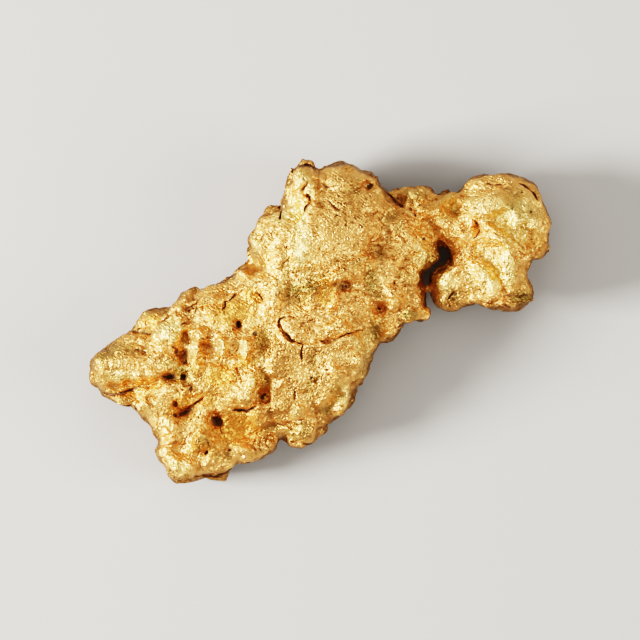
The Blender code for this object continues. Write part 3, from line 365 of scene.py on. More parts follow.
LEFT_BODY_PITS = [
    Pit(-16.5, -5.3, 0.45, 0.25, 0.20, -25, 0.15), Pit(-10.8, -2.7, 0.55, 0.38, 0.25, 60, 0.45),
    Pit(-10.7, -3.15, 0.45, 0.32, 0.25, -40, 0.45), Pit(-11.95, -4.6, 0.66, 0.27, 0.40, -3, 0.80),
    Pit(-10.85, -4.5, 0.20, 0.26, 0.60, 0, 1.0), Pit(-12.2, -3.1, 0.10, 0.09, 0.15, 0, 0.9),
    Pit(-11.55, -6.9, 0.36, 0.20, 0.35, -45, 0.85), Pit(-11.5, -7.75, 0.16, 0.11, 0.40, 0, 1.0),
    Pit(-11.0, -7.6, 0.30, 0.20, 0.30, 15, 0.85), Pit(-10.4, -7.3, 0.65, 0.36, 0.40, 45, 0.60),
    Pit(-9.55, -7.75, 0.16, 0.12, 0.25, 0, 0.75), Pit(-8.2, -8.0, 0.60, 0.50, 0.45, 10, 0.72),
    Pit(-9.05, -10.5, 0.24, 0.13, 0.45, 45, 1.0), Pit(-7.35, -10.4, 0.16, 0.12, 0.25, 0, 0.85),
    Pit(-6.8, -10.5, 0.13, 0.09, 0.15, 0, 0.5), Pit(-4.55, -6.1, 0.28, 0.15, 0.22, 50, 0.85),
    Pit(-6.45, -0.4, 0.27, 0.23, 0.50, 60, 0.95), Pit(-5.1, -1.15, 0.14, 0.10, 0.25, 0, 0.95),
    Pit(-9.0, -1.4, 0.11, 0.10, 0.20, 0, 0.95), Pit(-9.3, -1.5, 0.18, 0.13, 0.12, 0, 0.5),
    Pit(-8.5, -2.3, 0.30, 0.45, 0.15, -20, 0.20), Pit(-10.3, -5.7, 0.14, 0.35, 0.25, 0, 0.45),
    Pit(-9.7, 1.75, 0.10, 0.08, 0.12, 0, 0.9), Pit(-6.0, -8.0, 0.14, 0.12, 0.10, 0, 0.35),
    Pit(-13.9, -0.4, 0.20, 0.10, 0.12, -35, 0.55), Pit(-12.4, -8.6, 0.22, 0.12, 0.15, -30, 0.5),
    Pit(-16.9, -2.2, 0.16, 0.10, 0.12, 20, 0.5), Pit(-9.3, -4.75, 0.18, 0.10, 0.15, 60, 0.35),
    Pit(-12.6, -7.4, 0.25, 0.10, 0.15, 0, 0.45), Pit(-13.1, -5.9, 0.12, 0.08, 0.10, 0, 0.4),
]
print("pits of the left body:", len(LEFT_BODY_PITS))

# %% Pits of the high middle and the round lobe
CENTRE_PITS = [
    Pit(-1.2, 10.35, 0.17, 0.10, 0.25, 20, 0.95), Pit(-0.75, 9.85, 0.22, 0.13, 0.30, 0, 0.9),
    Pit(0.6, 10.6, 0.16, 0.10, 0.20, 0, 0.9), Pit(3.95, 10.7, 0.30, 0.18, 0.50, 25, 1.0),
    Pit(4.65, 0.85, 0.19, 0.15, 0.35, 0, 0.9), Pit(4.75, 0.62, 0.10, 0.12, 0.35, 0, 0.9),
    Pit(5.95, 2.95, 0.13, 0.16, 0.35, 0, 1.0), Pit(1.85, 2.6, 0.30, 0.16, 0.25, 10, 0.65),
    Pit(1.35, 2.75, 0.30, 0.18, 0.20, 0, 0.45), Pit(-5.45, 5.0, 0.15, 0.09, 0.15, 0, 0.7),
    Pit(1.75, 1.6, 0.12, 0.09, 0.12, 0, 0.7), Pit(-0.75, -4.6, 0.20, 0.13, 0.20, 0, 0.85),
    Pit(-0.45, -4.9, 0.26, 0.17, 0.20, -60, 0.45), Pit(0.65, -4.33, 0.13, 0.09, 0.20, 0, 0.95),
    Pit(1.3, -2.6, 0.08, 0.10, 0.10, 0, 0.8), Pit(-1.55, -6.35, 0.09, 0.08, 0.12, 0, 0.8),
    Pit(7.35, 9.4, 0.16, 0.11, 0.20, 20, 0.85), Pit(6.3, 9.65, 0.20, 0.12, 0.12, -40, 0.50),
    Pit(8.3, 6.4, 0.13, 0.15, 0.15, 0, 0.65), Pit(7.7, 7.1, 0.10, 0.06, 0.10, 0, 0.7),
    Pit(8.65, 4.75, 0.11, 0.09, 0.20, 0, 1.0), Pit(8.7, 4.5, 0.10, 0.08, 0.20, 0, 1.0),
    Pit(8.95, 4.95, 0.08, 0.07, 0.15, 0, 0.9), Pit(6.3, 4.85, 0.12, 0.07, 0.10, 0, 0.6),
    Pit(3.0, 7.3, 0.09, 0.06, 0.10, 0, 0.8), Pit(1.3, 8.35, 0.10, 0.07, 0.12, 0, 0.8),
    Pit(6.1, 0.95, 0.14, 0.10, 0.12, 0, 0.6), Pit(-2.55, 5.6, 0.14, 0.10, 0.15, 0, 0.7),
    Pit(-2.2, 5.8, 0.10, 0.12, 0.12, 0, 0.6), Pit(-3.5, 3.1, 0.18, 0.08, 0.12, 30, 0.6),
    Pit(-3.1, 3.3, 0.12, 0.08, 0.12, 0, 0.6), Pit(-1.35, 0.45, 0.12, 0.09, 0.10, 0, 0.5),
    Pit(3.3, -4.5, 0.10, 0.07, 0.10, 0, 0.6), Pit(2.2, 8.2, 0.11, 0.08, 0.12, 0, 0.6),
]
RIGHT_LOBE_PITS = [
    Pit(13.98, 7.97, 0.09, 0.12, 0.15, 0, 1.0), Pit(12.4, 8.9, 0.16, 0.11, 0.15, 0, 0.75),
    Pit(16.0, 7.4, 0.07, 0.11, 0.15, 0, 0.95), Pit(16.9, 6.5, 0.14, 0.11, 0.20, 0, 0.85),
    Pit(16.75, 8.5, 0.11, 0.15, 0.12, 0, 0.65), Pit(12.85, 5.0, 0.09, 0.08, 0.12, 0, 0.9),
    Pit(13.1, 5.75, 0.10, 0.07, 0.10, 0, 0.6), Pit(10.65, 9.4, 0.09, 0.14, 0.10, -20, 0.3),
    Pit(15.1, 8.4, 0.09, 0.07, 0.10, 0, 0.8), Pit(16.1, 10.15, 0.08, 0.07, 0.10, 0, 0.8),
    Pit(13.0, 9.0, 0.07, 0.11, 0.12, 0, 0.7), Pit(11.6, 5.2, 0.12, 0.08, 0.10, 0, 0.45),
    Pit(14.5, 2.95, 0.24, 0.16, 0.20, 70, 0.25), Pit(10.2, 7.1, 0.10, 0.07, 0.10, 0, 0.6),
    Pit(12.35, 8.05, 0.14, 0.07, 0.10, -30, 0.7), Pit(14.7, 8.05, 0.09, 0.07, 0.10, 0, 0.6),
]
print("pits of the middle and the round lobe:", len(CENTRE_PITS) + len(RIGHT_LOBE_PITS))

# %% How pits sink into the skin
ALL_PITS = LEFT_BODY_PITS + CENTRE_PITS + RIGHT_LOBE_PITS
PIT_REACH = 1.5             # beyond this many radii a pit changes nothing
PIT_WALL = (0.55, 1.15)     # the wall stands between these shares of the radius
PIT_OPEN = 0.75             # share of a pit's depth that the earth in it leaves open
PIT_RAGS = [(0.35, 0.32, 83), (0.30, 0.17, 89)]     # shift of the edge in radii, its size in mm, and seed


def pit_distance(points, pit):
    """As the distance of an oval, but with a ragged edge."""
    away = oval_distance(points, pit.x, pit.y, pit.along, pit.across, pit.turn)
    for shift, size, seed in PIT_RAGS:
        away = away + shift * noise(points, size, seed)
    return away


def pit_shape(points, pit):
    """1 on the floor of the pit, 0 outside, with a steep wall between."""
    return 1.0 - soft_step(*PIT_WALL, pit_distance(points, pit))


def pit_relief(points):
    """How far the pits lower each point, as negative heights."""
    relief = np.zeros(len(points))
    for pit in ALL_PITS:
        close = near(points, [(pit.x, pit.y)], PIT_REACH * max(pit.along, pit.across))
        relief[close] -= PIT_OPEN * pit.depth * pit_shape(points[close], pit)
    return relief


print("pits:", len(ALL_PITS))

# %% [markdown]
# ## Cracks, and laps where one sheet of gold lies over another
# Gold is so soft that a flake is folded over and hammered on without breaking off. What shows is a thin
# dark line, often curved, with the upper sheet standing a little proud along it. So a crack has a width and
# a depth, and a lap adds a small step on the left hand of its path. Earth in it makes it read as a line.

# %% Cracks and laps of the left body
Crack = namedtuple("Crack", "width depth lap earth path")

LEFT_BODY_CRACKS = [
    Crack(0.10, 0.30, 0.00, 0.95, [(-6.0, 2.45), (-6.5, 2.05), (-7.1, 1.8), (-7.5, 1.5), (-7.5, 1.1),
                                   (-7.7, 0.75)]),
    Crack(0.10, 0.25, 0.00, 0.85, [(-5.1, 2.3), (-4.75, 2.0), (-4.4, 1.5)]),
    Crack(0.10, 0.25, 0.00, 0.85, [(-14.8, -2.2), (-14.2, -2.4), (-13.7, -2.5)]),
    Crack(0.13, 0.35, 0.12, 0.75, [(-17.2, -5.75), (-16.5, -5.9), (-15.8, -5.7), (-15.2, -5.5),
                                   (-14.5, -5.25)]),
    Crack(0.18, 0.30, 0.15, 0.45, [(-14.5, -5.25), (-13.9, -5.2), (-13.3, -5.0), (-12.9, -4.85)]),
    Crack(0.15, 0.30, 0.10, 0.55, [(-13.4, -1.1), (-14.2, -1.0), (-15.0, -0.85)]),
    Crack(0.11, 0.30, 0.10, 0.60, [(-13.1, -0.65), (-12.5, -0.15), (-12.05, 0.35)]),
    Crack(0.12, 0.35, 0.12, 0.90, [(-6.9, -7.05), (-6.3, -7.15), (-5.7, -7.1), (-5.2, -6.85)]),
    Crack(0.10, 0.35, 0.00, 0.90, [(-10.3, -6.95), (-9.9, -6.75), (-9.6, -6.5), (-9.25, -6.25)]),
    Crack(0.06, 0.18, 0.00, 0.75, [(-8.0, -8.5), (-7.98, -8.8), (-7.9, -9.1)]),
    Crack(0.07, 0.18, 0.00, 0.60, [(-6.9, -5.0), (-6.5, -5.35), (-6.2, -5.6)]),
    Crack(0.08, 0.20, 0.00, 0.50, [(-8.6, -3.3), (-8.2, -3.35), (-7.9, -3.2)]),
    Crack(0.09, 0.20, 0.08, 0.55, [(-10.4, -0.1), (-10.8, -0.2), (-11.2, -0.5)]),
    Crack(0.10, 0.25, 0.10, 0.55, [(-11.6, -2.05), (-11.2, -2.3), (-11.25, -2.7)]),
    Crack(0.10, 0.20, 0.10, 0.45, [(-12.9, -10.1), (-12.1, -10.1), (-11.3, -10.0)]),
    Crack(0.10, 0.25, 0.10, 0.70, [(-9.9, -12.5), (-9.2, -12.55), (-8.4, -12.5), (-7.6, -12.3),
                                   (-7.0, -11.9)]),
    Crack(0.12, 0.25, 0.10, 0.50, [(-6.7, -3.8), (-6.5, -4.1), (-6.3, -4.4)]),
    Crack(0.09, 0.20, 0.08, 0.55, [(-9.9, 0.9), (-9.2, 0.95), (-8.6, 1.1), (-8.0, 1.3)]),
    Crack(0.09, 0.18, 0.08, 0.50, [(-10.5, 0.9), (-9.9, 1.3), (-9.4, 1.8)]),
    Crack(0.08, 0.15, 0.06, 0.45, [(-12.7, -5.9), (-12.1, -6.1), (-11.5, -6.0)]),
    Crack(0.07, 0.15, 0.05, 0.50, [(-4.6, -9.2), (-4.9, -9.9), (-4.7, -10.5)]),
    Crack(0.07, 0.15, 0.05, 0.50, [(-4.1, -9.1), (-4.3, -9.8), (-4.1, -10.4)]),
    Crack(0.07, 0.15, 0.05, 0.45, [(-5.1, -9.4), (-5.3, -10.1), (-5.0, -10.8)]),
    Crack(0.07, 0.15, 0.05, 0.40, [(-9.9, -9.9), (-9.6, -10.4), (-9.7, -10.9)]),
    Crack(0.07, 0.15, 0.05, 0.40, [(-9.3, -9.5), (-9.0, -10.0)]),
]
print("cracks of the left body:", len(LEFT_BODY_CRACKS))

# %% Cracks and laps of the high middle
CENTRE_CRACKS = [
    Crack(0.11, 0.40, 0.10, 0.95, [(-0.35, 12.1), (-0.8, 12.45), (-1.3, 12.5), (-1.7, 12.35),
                                   (-2.05, 12.1)]),
    Crack(0.12, 0.45, 0.00, 0.80, [(-3.15, 9.1), (-3.05, 8.6), (-3.1, 8.0)]),
    Crack(0.10, 0.30, 0.00, 0.80, [(-0.7, 9.8), (-0.75, 9.3), (-1.0, 9.0), (-1.2, 8.6)]),
    Crack(0.08, 0.22, 0.00, 0.70, [(-1.2, 10.4), (-1.0, 10.75), (-0.95, 11.0)]),
    Crack(0.08, 0.25, 0.00, 0.95, [(0.8, 9.4), (1.1, 9.05), (1.45, 8.75)]),
    Crack(0.08, 0.22, 0.00, 0.80, [(3.9, 8.5), (4.3, 8.5), (4.6, 8.7)]),
    Crack(0.10, 0.10, 0.10, 0.20, [(1.4, 3.6), (0.6, 3.35), (0.0, 3.1), (-0.8, 2.9), (-1.7, 2.7),
                                   (-2.3, 2.35)]),
    Crack(0.10, 0.10, 0.08, 0.20, [(4.2, 5.4), (3.0, 5.05), (2.4, 4.85), (1.8, 4.65)]),
    Crack(0.11, 0.40, 0.12, 0.90, [(-1.3, -1.9), (-1.65, -1.9), (-2.15, -1.65), (-2.6, -1.3), (-3.1, -0.95),
                                   (-3.4, -0.5), (-3.25, -0.1), (-2.7, 0.05)]),
    Crack(0.08, 0.22, 0.05, 0.60, [(-2.7, 0.05), (-2.4, 0.1), (-1.95, -0.05)]),
    Crack(0.10, 0.40, 0.00, 0.98, [(-1.25, -1.95), (-1.45, -2.4), (-1.55, -2.8), (-1.45, -3.25)]),
    Crack(0.08, 0.22, 0.05, 0.60, [(-0.2, -0.05), (-0.6, -0.1), (-1.0, -0.3), (-1.6, -0.45)]),
    Crack(0.11, 0.34, 0.16, 0.70, [(3.4, -0.75), (2.7, -0.85), (2.1, -1.0), (1.6, -1.4), (1.1, -1.65),
                                   (0.5, -1.7), (0.0, -1.5)]),
    Crack(0.12, 0.12, 0.08, 0.20, [(5.2, 5.2), (4.9, 5.5), (4.6, 5.95)]),
    Crack(0.08, 0.30, 0.00, 0.95, [(-2.15, -5.65), (-2.05, -6.0), (-2.05, -6.3)]),
    Crack(0.10, 0.25, 0.10, 0.80, [(-2.3, -8.35), (-2.9, -8.4), (-3.4, -8.3)]),
    Crack(0.10, 0.25, 0.10, 0.75, [(-1.1, -7.95), (-1.9, -7.95), (-2.4, -8.2)]),
    Crack(0.10, 0.25, 0.12, 0.75, [(-0.8, -9.8), (-1.3, -9.85), (-1.9, -9.85), (-2.5, -9.65)]),
    Crack(0.09, 0.20, 0.08, 0.50, [(1.0, -7.4), (1.5, -7.25), (2.1, -7.2)]),
    Crack(0.10, 0.35, 0.10, 0.85, [(5.4, 10.2), (5.9, 9.7), (6.25, 9.2), (6.6, 8.9)]),
    Crack(0.09, 0.25, 0.05, 0.85, [(7.2, 8.9), (7.45, 8.5), (7.8, 8.2)]),
    Crack(0.10, 0.20, 0.10, 0.40, [(6.9, 6.0), (6.7, 6.4), (6.1, 6.8)]),
    Crack(0.08, 0.18, 0.06, 0.50, [(8.1, 5.25), (7.4, 5.2), (6.8, 5.1)]),
    Crack(0.09, 0.20, 0.10, 0.60, [(7.6, 0.7), (8.0, 1.0), (8.3, 1.4)]),
    Crack(0.09, 0.20, 0.10, 0.50, [(5.1, -1.5), (5.7, -1.4), (6.1, -1.1)]),
    Crack(0.07, 0.15, 0.08, 0.40, [(2.0, -4.3), (1.4, -4.4), (0.9, -4.6)]),
    Crack(0.07, 0.15, 0.06, 0.40, [(0.0, 12.0), (-0.1, 11.4), (-0.3, 10.9)]),
]
print("cracks of the high middle:", len(CENTRE_CRACKS))

# %% Cracks and laps of the round lobe
RIGHT_LOBE_CRACKS = [
    Crack(0.10, 0.30, 0.08, 0.90, [(12.3, 7.8), (12.55, 7.5), (12.7, 7.1), (12.7, 6.85), (12.5, 6.6),
                                   (12.2, 6.55)]),
    Crack(0.11, 0.30, 0.10, 0.80, [(17.4, 9.6), (17.0, 10.15), (16.5, 10.6), (15.9, 10.95)]),
    Crack(0.09, 0.20, 0.08, 0.70, [(14.6, 10.9), (14.0, 10.85), (13.3, 10.95)]),
    Crack(0.09, 0.22, 0.08, 0.65, [(11.2, 9.75), (11.9, 9.85), (12.6, 9.9)]),
    Crack(0.08, 0.12, 0.05, 0.25, [(14.5, 2.4), (14.4, 3.2), (14.0, 4.0), (13.4, 4.7)]),
    Crack(0.08, 0.20, 0.10, 0.60, [(16.9, 2.0), (16.0, 1.9), (15.0, 1.9), (14.2, 1.7)]),
    Crack(0.08, 0.20, 0.10, 0.65, [(16.8, 1.6), (15.9, 1.45), (14.9, 1.45), (13.9, 1.35), (13.0, 1.35)]),
    Crack(0.08, 0.20, 0.08, 0.65, [(16.3, 1.15), (15.4, 1.1), (14.6, 1.1)]),
    Crack(0.08, 0.20, 0.06, 0.50, [(15.5, 4.4), (15.45, 4.8), (15.3, 5.3)]),
    Crack(0.10, 0.25, 0.10, 0.60, [(10.4, 1.0), (10.3, 1.6), (10.7, 2.2)]),
    Crack(0.07, 0.20, 0.05, 0.50, [(10.2, 5.7), (10.8, 5.5), (11.4, 5.6)]),
    Crack(0.08, 0.20, 0.08, 0.40, [(15.2, 6.9), (15.7, 6.3), (16.3, 5.7)]),
    Crack(0.08, 0.20, 0.08, 0.45, [(13.2, 6.9), (13.9, 6.9), (14.5, 6.7)]),
]
print("cracks of the round lobe:", len(RIGHT_LOBE_CRACKS))

# %% How cracks open the skin
ALL_CRACKS = LEFT_BODY_CRACKS + CENTRE_CRACKS + RIGHT_LOBE_CRACKS
CRACK_WALL = (0.3, 1.25)    # the wall stands between these shares of the width
CRACK_END = 0.45            # share of its width that a crack has at both ends
CRACK_MEAN = 0.75           # the width wanders around this share of the stated one
CRACK_SWING = 0.45          # and by this much to both sides,
CRACK_SWING_SIZE = 0.45     # over this many millimetres
CRACK_SEED = 91
CRACK_HOLD = 0.35           # added to the wandering share for the depth, so that no crack closes
LAP_LIP = 0.15              # the upper sheet rises over this many millimetres from the crack
LAP_REACH = 0.9             # and has sunk back to the skin here


def crack_shape(points, crack, widening=1.0):
    """1 along the crack and 0 outside its width, uneven along it; the signed distance; and its ends."""
    away, side, share = path_distance(points, crack.path)
    ends = path_ends(share)
    uneven = CRACK_MEAN + CRACK_SWING * noise(points, CRACK_SWING_SIZE, CRACK_SEED)
    width = crack.width * widening * (CRACK_END + (1.0 - CRACK_END) * ends) * uneven
    shape = (1.0 - soft_step(*CRACK_WALL, away / width)) * np.clip(CRACK_HOLD + uneven, 0.0, 1.0)
    return shape, away * side, ends


def crack_relief(points):
    """The cracks sunk in, and beside each lap the upper sheet standing proud."""
    relief = np.zeros(len(points))
    for crack in ALL_CRACKS:
        close = near(points, crack.path, LAP_REACH)
        shape, signed, ends = crack_shape(points[close], crack)
        sheet = soft_step(0.0, LAP_LIP, signed) * (1.0 - soft_step(LAP_LIP, LAP_REACH, signed)) * ends
        relief[close] += crack.lap * sheet - crack.depth * shape
    return relief


print("cracks and laps:", len(ALL_CRACKS))

# %% [markdown]
# ## Pressing the forms in
# The places are seen from above, so the forms belong to the faces that look up. How much a point looks up
# is the height of its normal, and the relief fades out with it down the sides. The underside and the sides
# lay in gravel too, so they get seeded pits of their own. Their places are drawn at random, because no two
# sides of a nugget are alike and nothing on them has to be in one spot.

# %% The relief on the skin
TOP_SLOPE = (0.05, 0.45)    # height of the normal where the top's relief begins and where it is full
SIDE_PITS = 150
SIDE_PIT_RADIUS = (0.15, 0.65)
SIDE_PIT_DEPTH = (0.10, 0.40)
SIDE_PIT_WALL = (0.5, 1.2)  # the wall stands between these shares of the radius
SIDE_PIT_EARTH = 2.2        # earth in a side pit for each millimetre of its depth, up to 1
SIDE_SEED = 41


def side_pits(points, chance):
    """Seeded round pits for the sides and the underside, and how much earth lies in them."""
    relief = np.zeros(len(points))
    earth = np.zeros(len(points))
    low, high = points.min(axis=0), points.max(axis=0)
    for _ in range(SIDE_PITS):
        middle = chance.uniform(low, high)
        radius = chance.uniform(*SIDE_PIT_RADIUS)
        depth = chance.uniform(*SIDE_PIT_DEPTH)
        shape = 1.0 - soft_step(*SIDE_PIT_WALL, np.linalg.norm(points - middle, axis=1) / radius)
        relief -= depth * shape
        earth = np.maximum(earth, shape * min(1.0, SIDE_PIT_EARTH * depth))
    return relief, earth


def press_relief(mesh):
    """Presses the crests, pits and cracks into the top and the seeded pits into the rest."""
    position = points_of(mesh)
    normal = points_of(mesh, "normal")
    places = places_of(position)
    looks_up = soft_step(*TOP_SLOPE, normal[:, 2])
    relief = crest_relief(places) + pit_relief(places) + crack_relief(places)
    below, _ = side_pits(position, np.random.default_rng(SIDE_SEED))
    position[:, 2] += relief * looks_up
    position += normal * (below * (1.0 - looks_up))[:, None]
    move_points(mesh, position)
    return relief


relief = press_relief(skin)
print("relief of the top, mm: from", round(relief.min(), 2), "to", round(relief.max(), 2))

# %% [markdown]
# ## The grain
# Gold that grew in the ground is a crowd of small crystals, and wear has pressed them into rounded grains
# with facets between. The grain follows the whole surface by one rule, so Geometry Nodes make it: each
# point of the skin moves along its normal by a height read from cell patterns. Rounded cells give grains,
# a random tilt in each small cell gives facets, and ridged noise gives the crumpled look. The facets meet
# softly, because sharp edges between them would mirror the dark room and look like pepper. The flanks get
# round knobs besides. An image could hold such a pattern too, but it would stretch on the sides, and
# nodes in space don't.

# %% A node with its settings and links
MIDDLE = (0.5, 0.5, 0.5)    # random colours run from 0 to 1, around this


def add_node(tree, kind, inputs=None, **settings):
    """Adds a node to a tree. `inputs` gives each socket its value or the socket that feeds it."""
    node = tree.nodes.new(kind)
    for name, value in settings.items():
        setattr(node, name, value)
    for name, value in (inputs or {}).items():
        socket = node.inputs[name]
        if isinstance(value, bpy.types.NodeSocket):
            tree.links.new(value, socket)
        elif socket.type == "VECTOR" and isinstance(value, float):
            socket.default_value = (value, value, value)
        else:
            socket.default_value = value
    return node


print("random colours are centred on:", MIDDLE)

# %% Lumps, grains and knobs: rounded cells
DOME_FALL = 1.6             # how soon a dome falls away from its middle
DOME_MEAN = 0.7             # its mean height, taken off so that the domes don't make the nugget larger


def domes(tree, place, size, rise):
    """Rounded cells of one size, as a height."""
    cell = add_node(tree, "ShaderNodeVectorMath", {0: place, 1: size}, operation="DIVIDE")
    pattern = add_node(tree, "ShaderNodeTexVoronoi", {"Vector": cell.outputs[0], "Scale": 1.0})
    square = add_node(tree, "ShaderNodeMath", {0: pattern.outputs["Distance"], 1: 2.0}, operation="POWER")
    cap = add_node(tree, "ShaderNodeMath", {0: square.outputs[0], 1: -DOME_FALL, 2: 1.0},
                   operation="MULTIPLY_ADD", use_clamp=True)
    round_top = add_node(tree, "ShaderNodeMath", {0: cap.outputs[0]}, operation="SQRT")
    centred = add_node(tree, "ShaderNodeMath", {0: round_top.outputs[0], 1: DOME_MEAN}, operation="SUBTRACT")
    return add_node(tree, "ShaderNodeMath", {0: centred.outputs[0], 1: rise}, operation="MULTIPLY").outputs[0]


print("mean height taken off the domes:", DOME_MEAN)

# %% Facets: cells with a tilt of their own
FACET_SOFTNESS = 0.35       # how softly one facet meets the next, from 0 to 1


def facets(tree, place, size, rise):
    """Small cells, each a plane with a tilt of its own and soft where it meets the next, as a height."""
    cell = add_node(tree, "ShaderNodeVectorMath", {0: place, 1: size}, operation="DIVIDE")
    pattern = add_node(tree, "ShaderNodeTexVoronoi",
                       {"Vector": cell.outputs[0], "Scale": 1.0, "Smoothness": FACET_SOFTNESS},
                       feature="SMOOTH_F1")
    tilt = add_node(tree, "ShaderNodeVectorMath", {0: pattern.outputs["Color"], 1: MIDDLE},
                    operation="SUBTRACT")
    reach = add_node(tree, "ShaderNodeVectorMath", {0: cell.outputs[0], 1: pattern.outputs["Position"]},
                     operation="SUBTRACT")
    slope = add_node(tree, "ShaderNodeVectorMath", {0: tilt.outputs[0], 1: reach.outputs[0]},
                     operation="DOT_PRODUCT")
    lifted = add_node(tree, "ShaderNodeMath", {0: slope.outputs["Value"], 1: rise}, operation="MULTIPLY")
    return lifted.outputs[0]


print("softness between facets:", FACET_SOFTNESS)

# %% The crumpled look: ridged noise
CRUMPLE_DETAIL = 3.0        # how many finer creases lie in each crease
CRUMPLE_ROUGHNESS = 0.6     # and how strong they are beside it


def crumple(tree, place, size, rise):
    """Ridged noise, as a height."""
    wave = add_node(tree, "ShaderNodeVectorMath", {0: place, 1: size}, operation="DIVIDE")
    pattern = add_node(tree, "ShaderNodeTexNoise",
                       {"Vector": wave.outputs[0], "Scale": 1.0, "Detail": CRUMPLE_DETAIL,
                        "Roughness": CRUMPLE_ROUGHNESS},
                       noise_type="RIDGED_MULTIFRACTAL", normalize=True)
    centred = add_node(tree, "ShaderNodeMath", {0: pattern.outputs[0], 1: 0.5}, operation="SUBTRACT")
    return add_node(tree, "ShaderNodeMath", {0: centred.outputs[0], 1: rise}, operation="MULTIPLY").outputs[0]


print("detail of the creases:", CRUMPLE_DETAIL)

# %% How far the grain moves each point
GRAIN_INPUTS = {            # sizes and rises in mm; the seed shifts the whole pattern
    "Lump size": 1.6, "Lump rise": 0.42,
    "Grain size": 0.75, "Grain rise": 0.08,
    "Facet size": 0.80, "Facet rise": 0.30,
    "Crumple size": 1.1, "Crumple rise": 0.14,
    "Knob size": 1.3, "Knob rise": 0.34,
    "Wander": 0.35, "Seed": 7.0,
}
WANDER_SCALE = 0.9          # how often the wander turns, for each mm
WANDER_STRETCH = 4.0        # noise seldom leaves the middle of its range, so it is stretched this much


def wandering_place(tree, given):
    """The place of each point, shifted by the seed and stirred by noise."""
    position = add_node(tree, "GeometryNodeInputPosition").outputs[0]
    shifted = add_node(tree, "ShaderNodeVectorMath", {0: position, 1: given["Seed"]}, operation="ADD")
    stir = add_node(tree, "ShaderNodeTexNoise",
                    {"Vector": shifted.outputs[0], "Scale": WANDER_SCALE, "Detail": 1.0})
    centred = add_node(tree, "ShaderNodeVectorMath", {0: stir.outputs["Color"], 1: MIDDLE},
                       operation="SUBTRACT")
    stirred = add_node(tree, "ShaderNodeVectorMath", {0: centred.outputs[0], "Scale": given["Wander"]},
                       operation="SCALE")
    stretched = add_node(tree, "ShaderNodeVectorMath", {0: stirred.outputs[0], "Scale": WANDER_STRETCH},
                         operation="SCALE")
    return add_node(tree, "ShaderNodeVectorMath", {0: shifted.outputs[0], 1: stretched.outputs[0]},
                    operation="ADD").outputs[0]


def stored_number(tree, name):
    """The number that the skin's points carry under a name."""
    stored = add_node(tree, "GeometryNodeInputNamedAttribute", {"Name": name}, data_type="FLOAT")
    return stored.outputs["Attribute"]


def grain_height(tree, given):
    """How far each point moves out: grain by its strength, plus knobs by theirs."""
    place = wandering_place(tree, given)
    total = domes(tree, place, given["Lump size"], given["Lump rise"])
    for height in (domes(tree, place, given["Grain size"], given["Grain rise"]),
                   facets(tree, place, given["Facet size"], given["Facet rise"]),
                   crumple(tree, place, given["Crumple size"], given["Crumple rise"])):
        total = add_node(tree, "ShaderNodeMath", {0: total, 1: height}, operation="ADD").outputs[0]
    worn = add_node(tree, "ShaderNodeMath", {0: total, 1: stored_number(tree, "grain strength")},
                    operation="MULTIPLY").outputs[0]
    knobs = domes(tree, place, given["Knob size"], given["Knob rise"])
    return add_node(tree, "ShaderNodeMath", {0: knobs, 1: stored_number(tree, "knob strength"), 2: worn},
                    operation="MULTIPLY_ADD").outputs[0]


print("inputs of the grain:", len(GRAIN_INPUTS))

# %% The grain as a node tree
def grain_tree():
    """Moves points along their normals by the grain's height, and gives the mesh its material."""
    tree = bpy.data.node_groups.new("pressed grain", "GeometryNodeTree")
    tree.is_modifier = True
    tree.interface.new_socket("Geometry", in_out="INPUT", socket_type="NodeSocketGeometry")
    for name, value in GRAIN_INPUTS.items():
        socket = tree.interface.new_socket(name, in_out="INPUT", socket_type="NodeSocketFloat")
        socket.default_value = value
    tree.interface.new_socket("Material", in_out="INPUT", socket_type="NodeSocketMaterial")
    tree.interface.new_socket("Geometry", in_out="OUTPUT", socket_type="NodeSocketGeometry")
    given = add_node(tree, "NodeGroupInput").outputs
    normal = add_node(tree, "GeometryNodeInputNormal").outputs[0]
    push = add_node(tree, "ShaderNodeVectorMath", {0: normal, "Scale": grain_height(tree, given)},
                    operation="SCALE")
    moved = add_node(tree, "GeometryNodeSetPosition",
                     {"Geometry": given["Geometry"], "Offset": push.outputs[0]})
    real = add_node(tree, "GeometryNodeRealizeInstances", {0: moved.outputs[0]})
    dressed = add_node(tree, "GeometryNodeSetMaterial",
                       {"Geometry": real.outputs[0], "Material": given["Material"]})
    add_node(tree, "NodeGroupOutput", {"Geometry": dressed.outputs[0]})
    return tree


grain = grain_tree()
print("grain tree:", len(grain.nodes), "nodes")
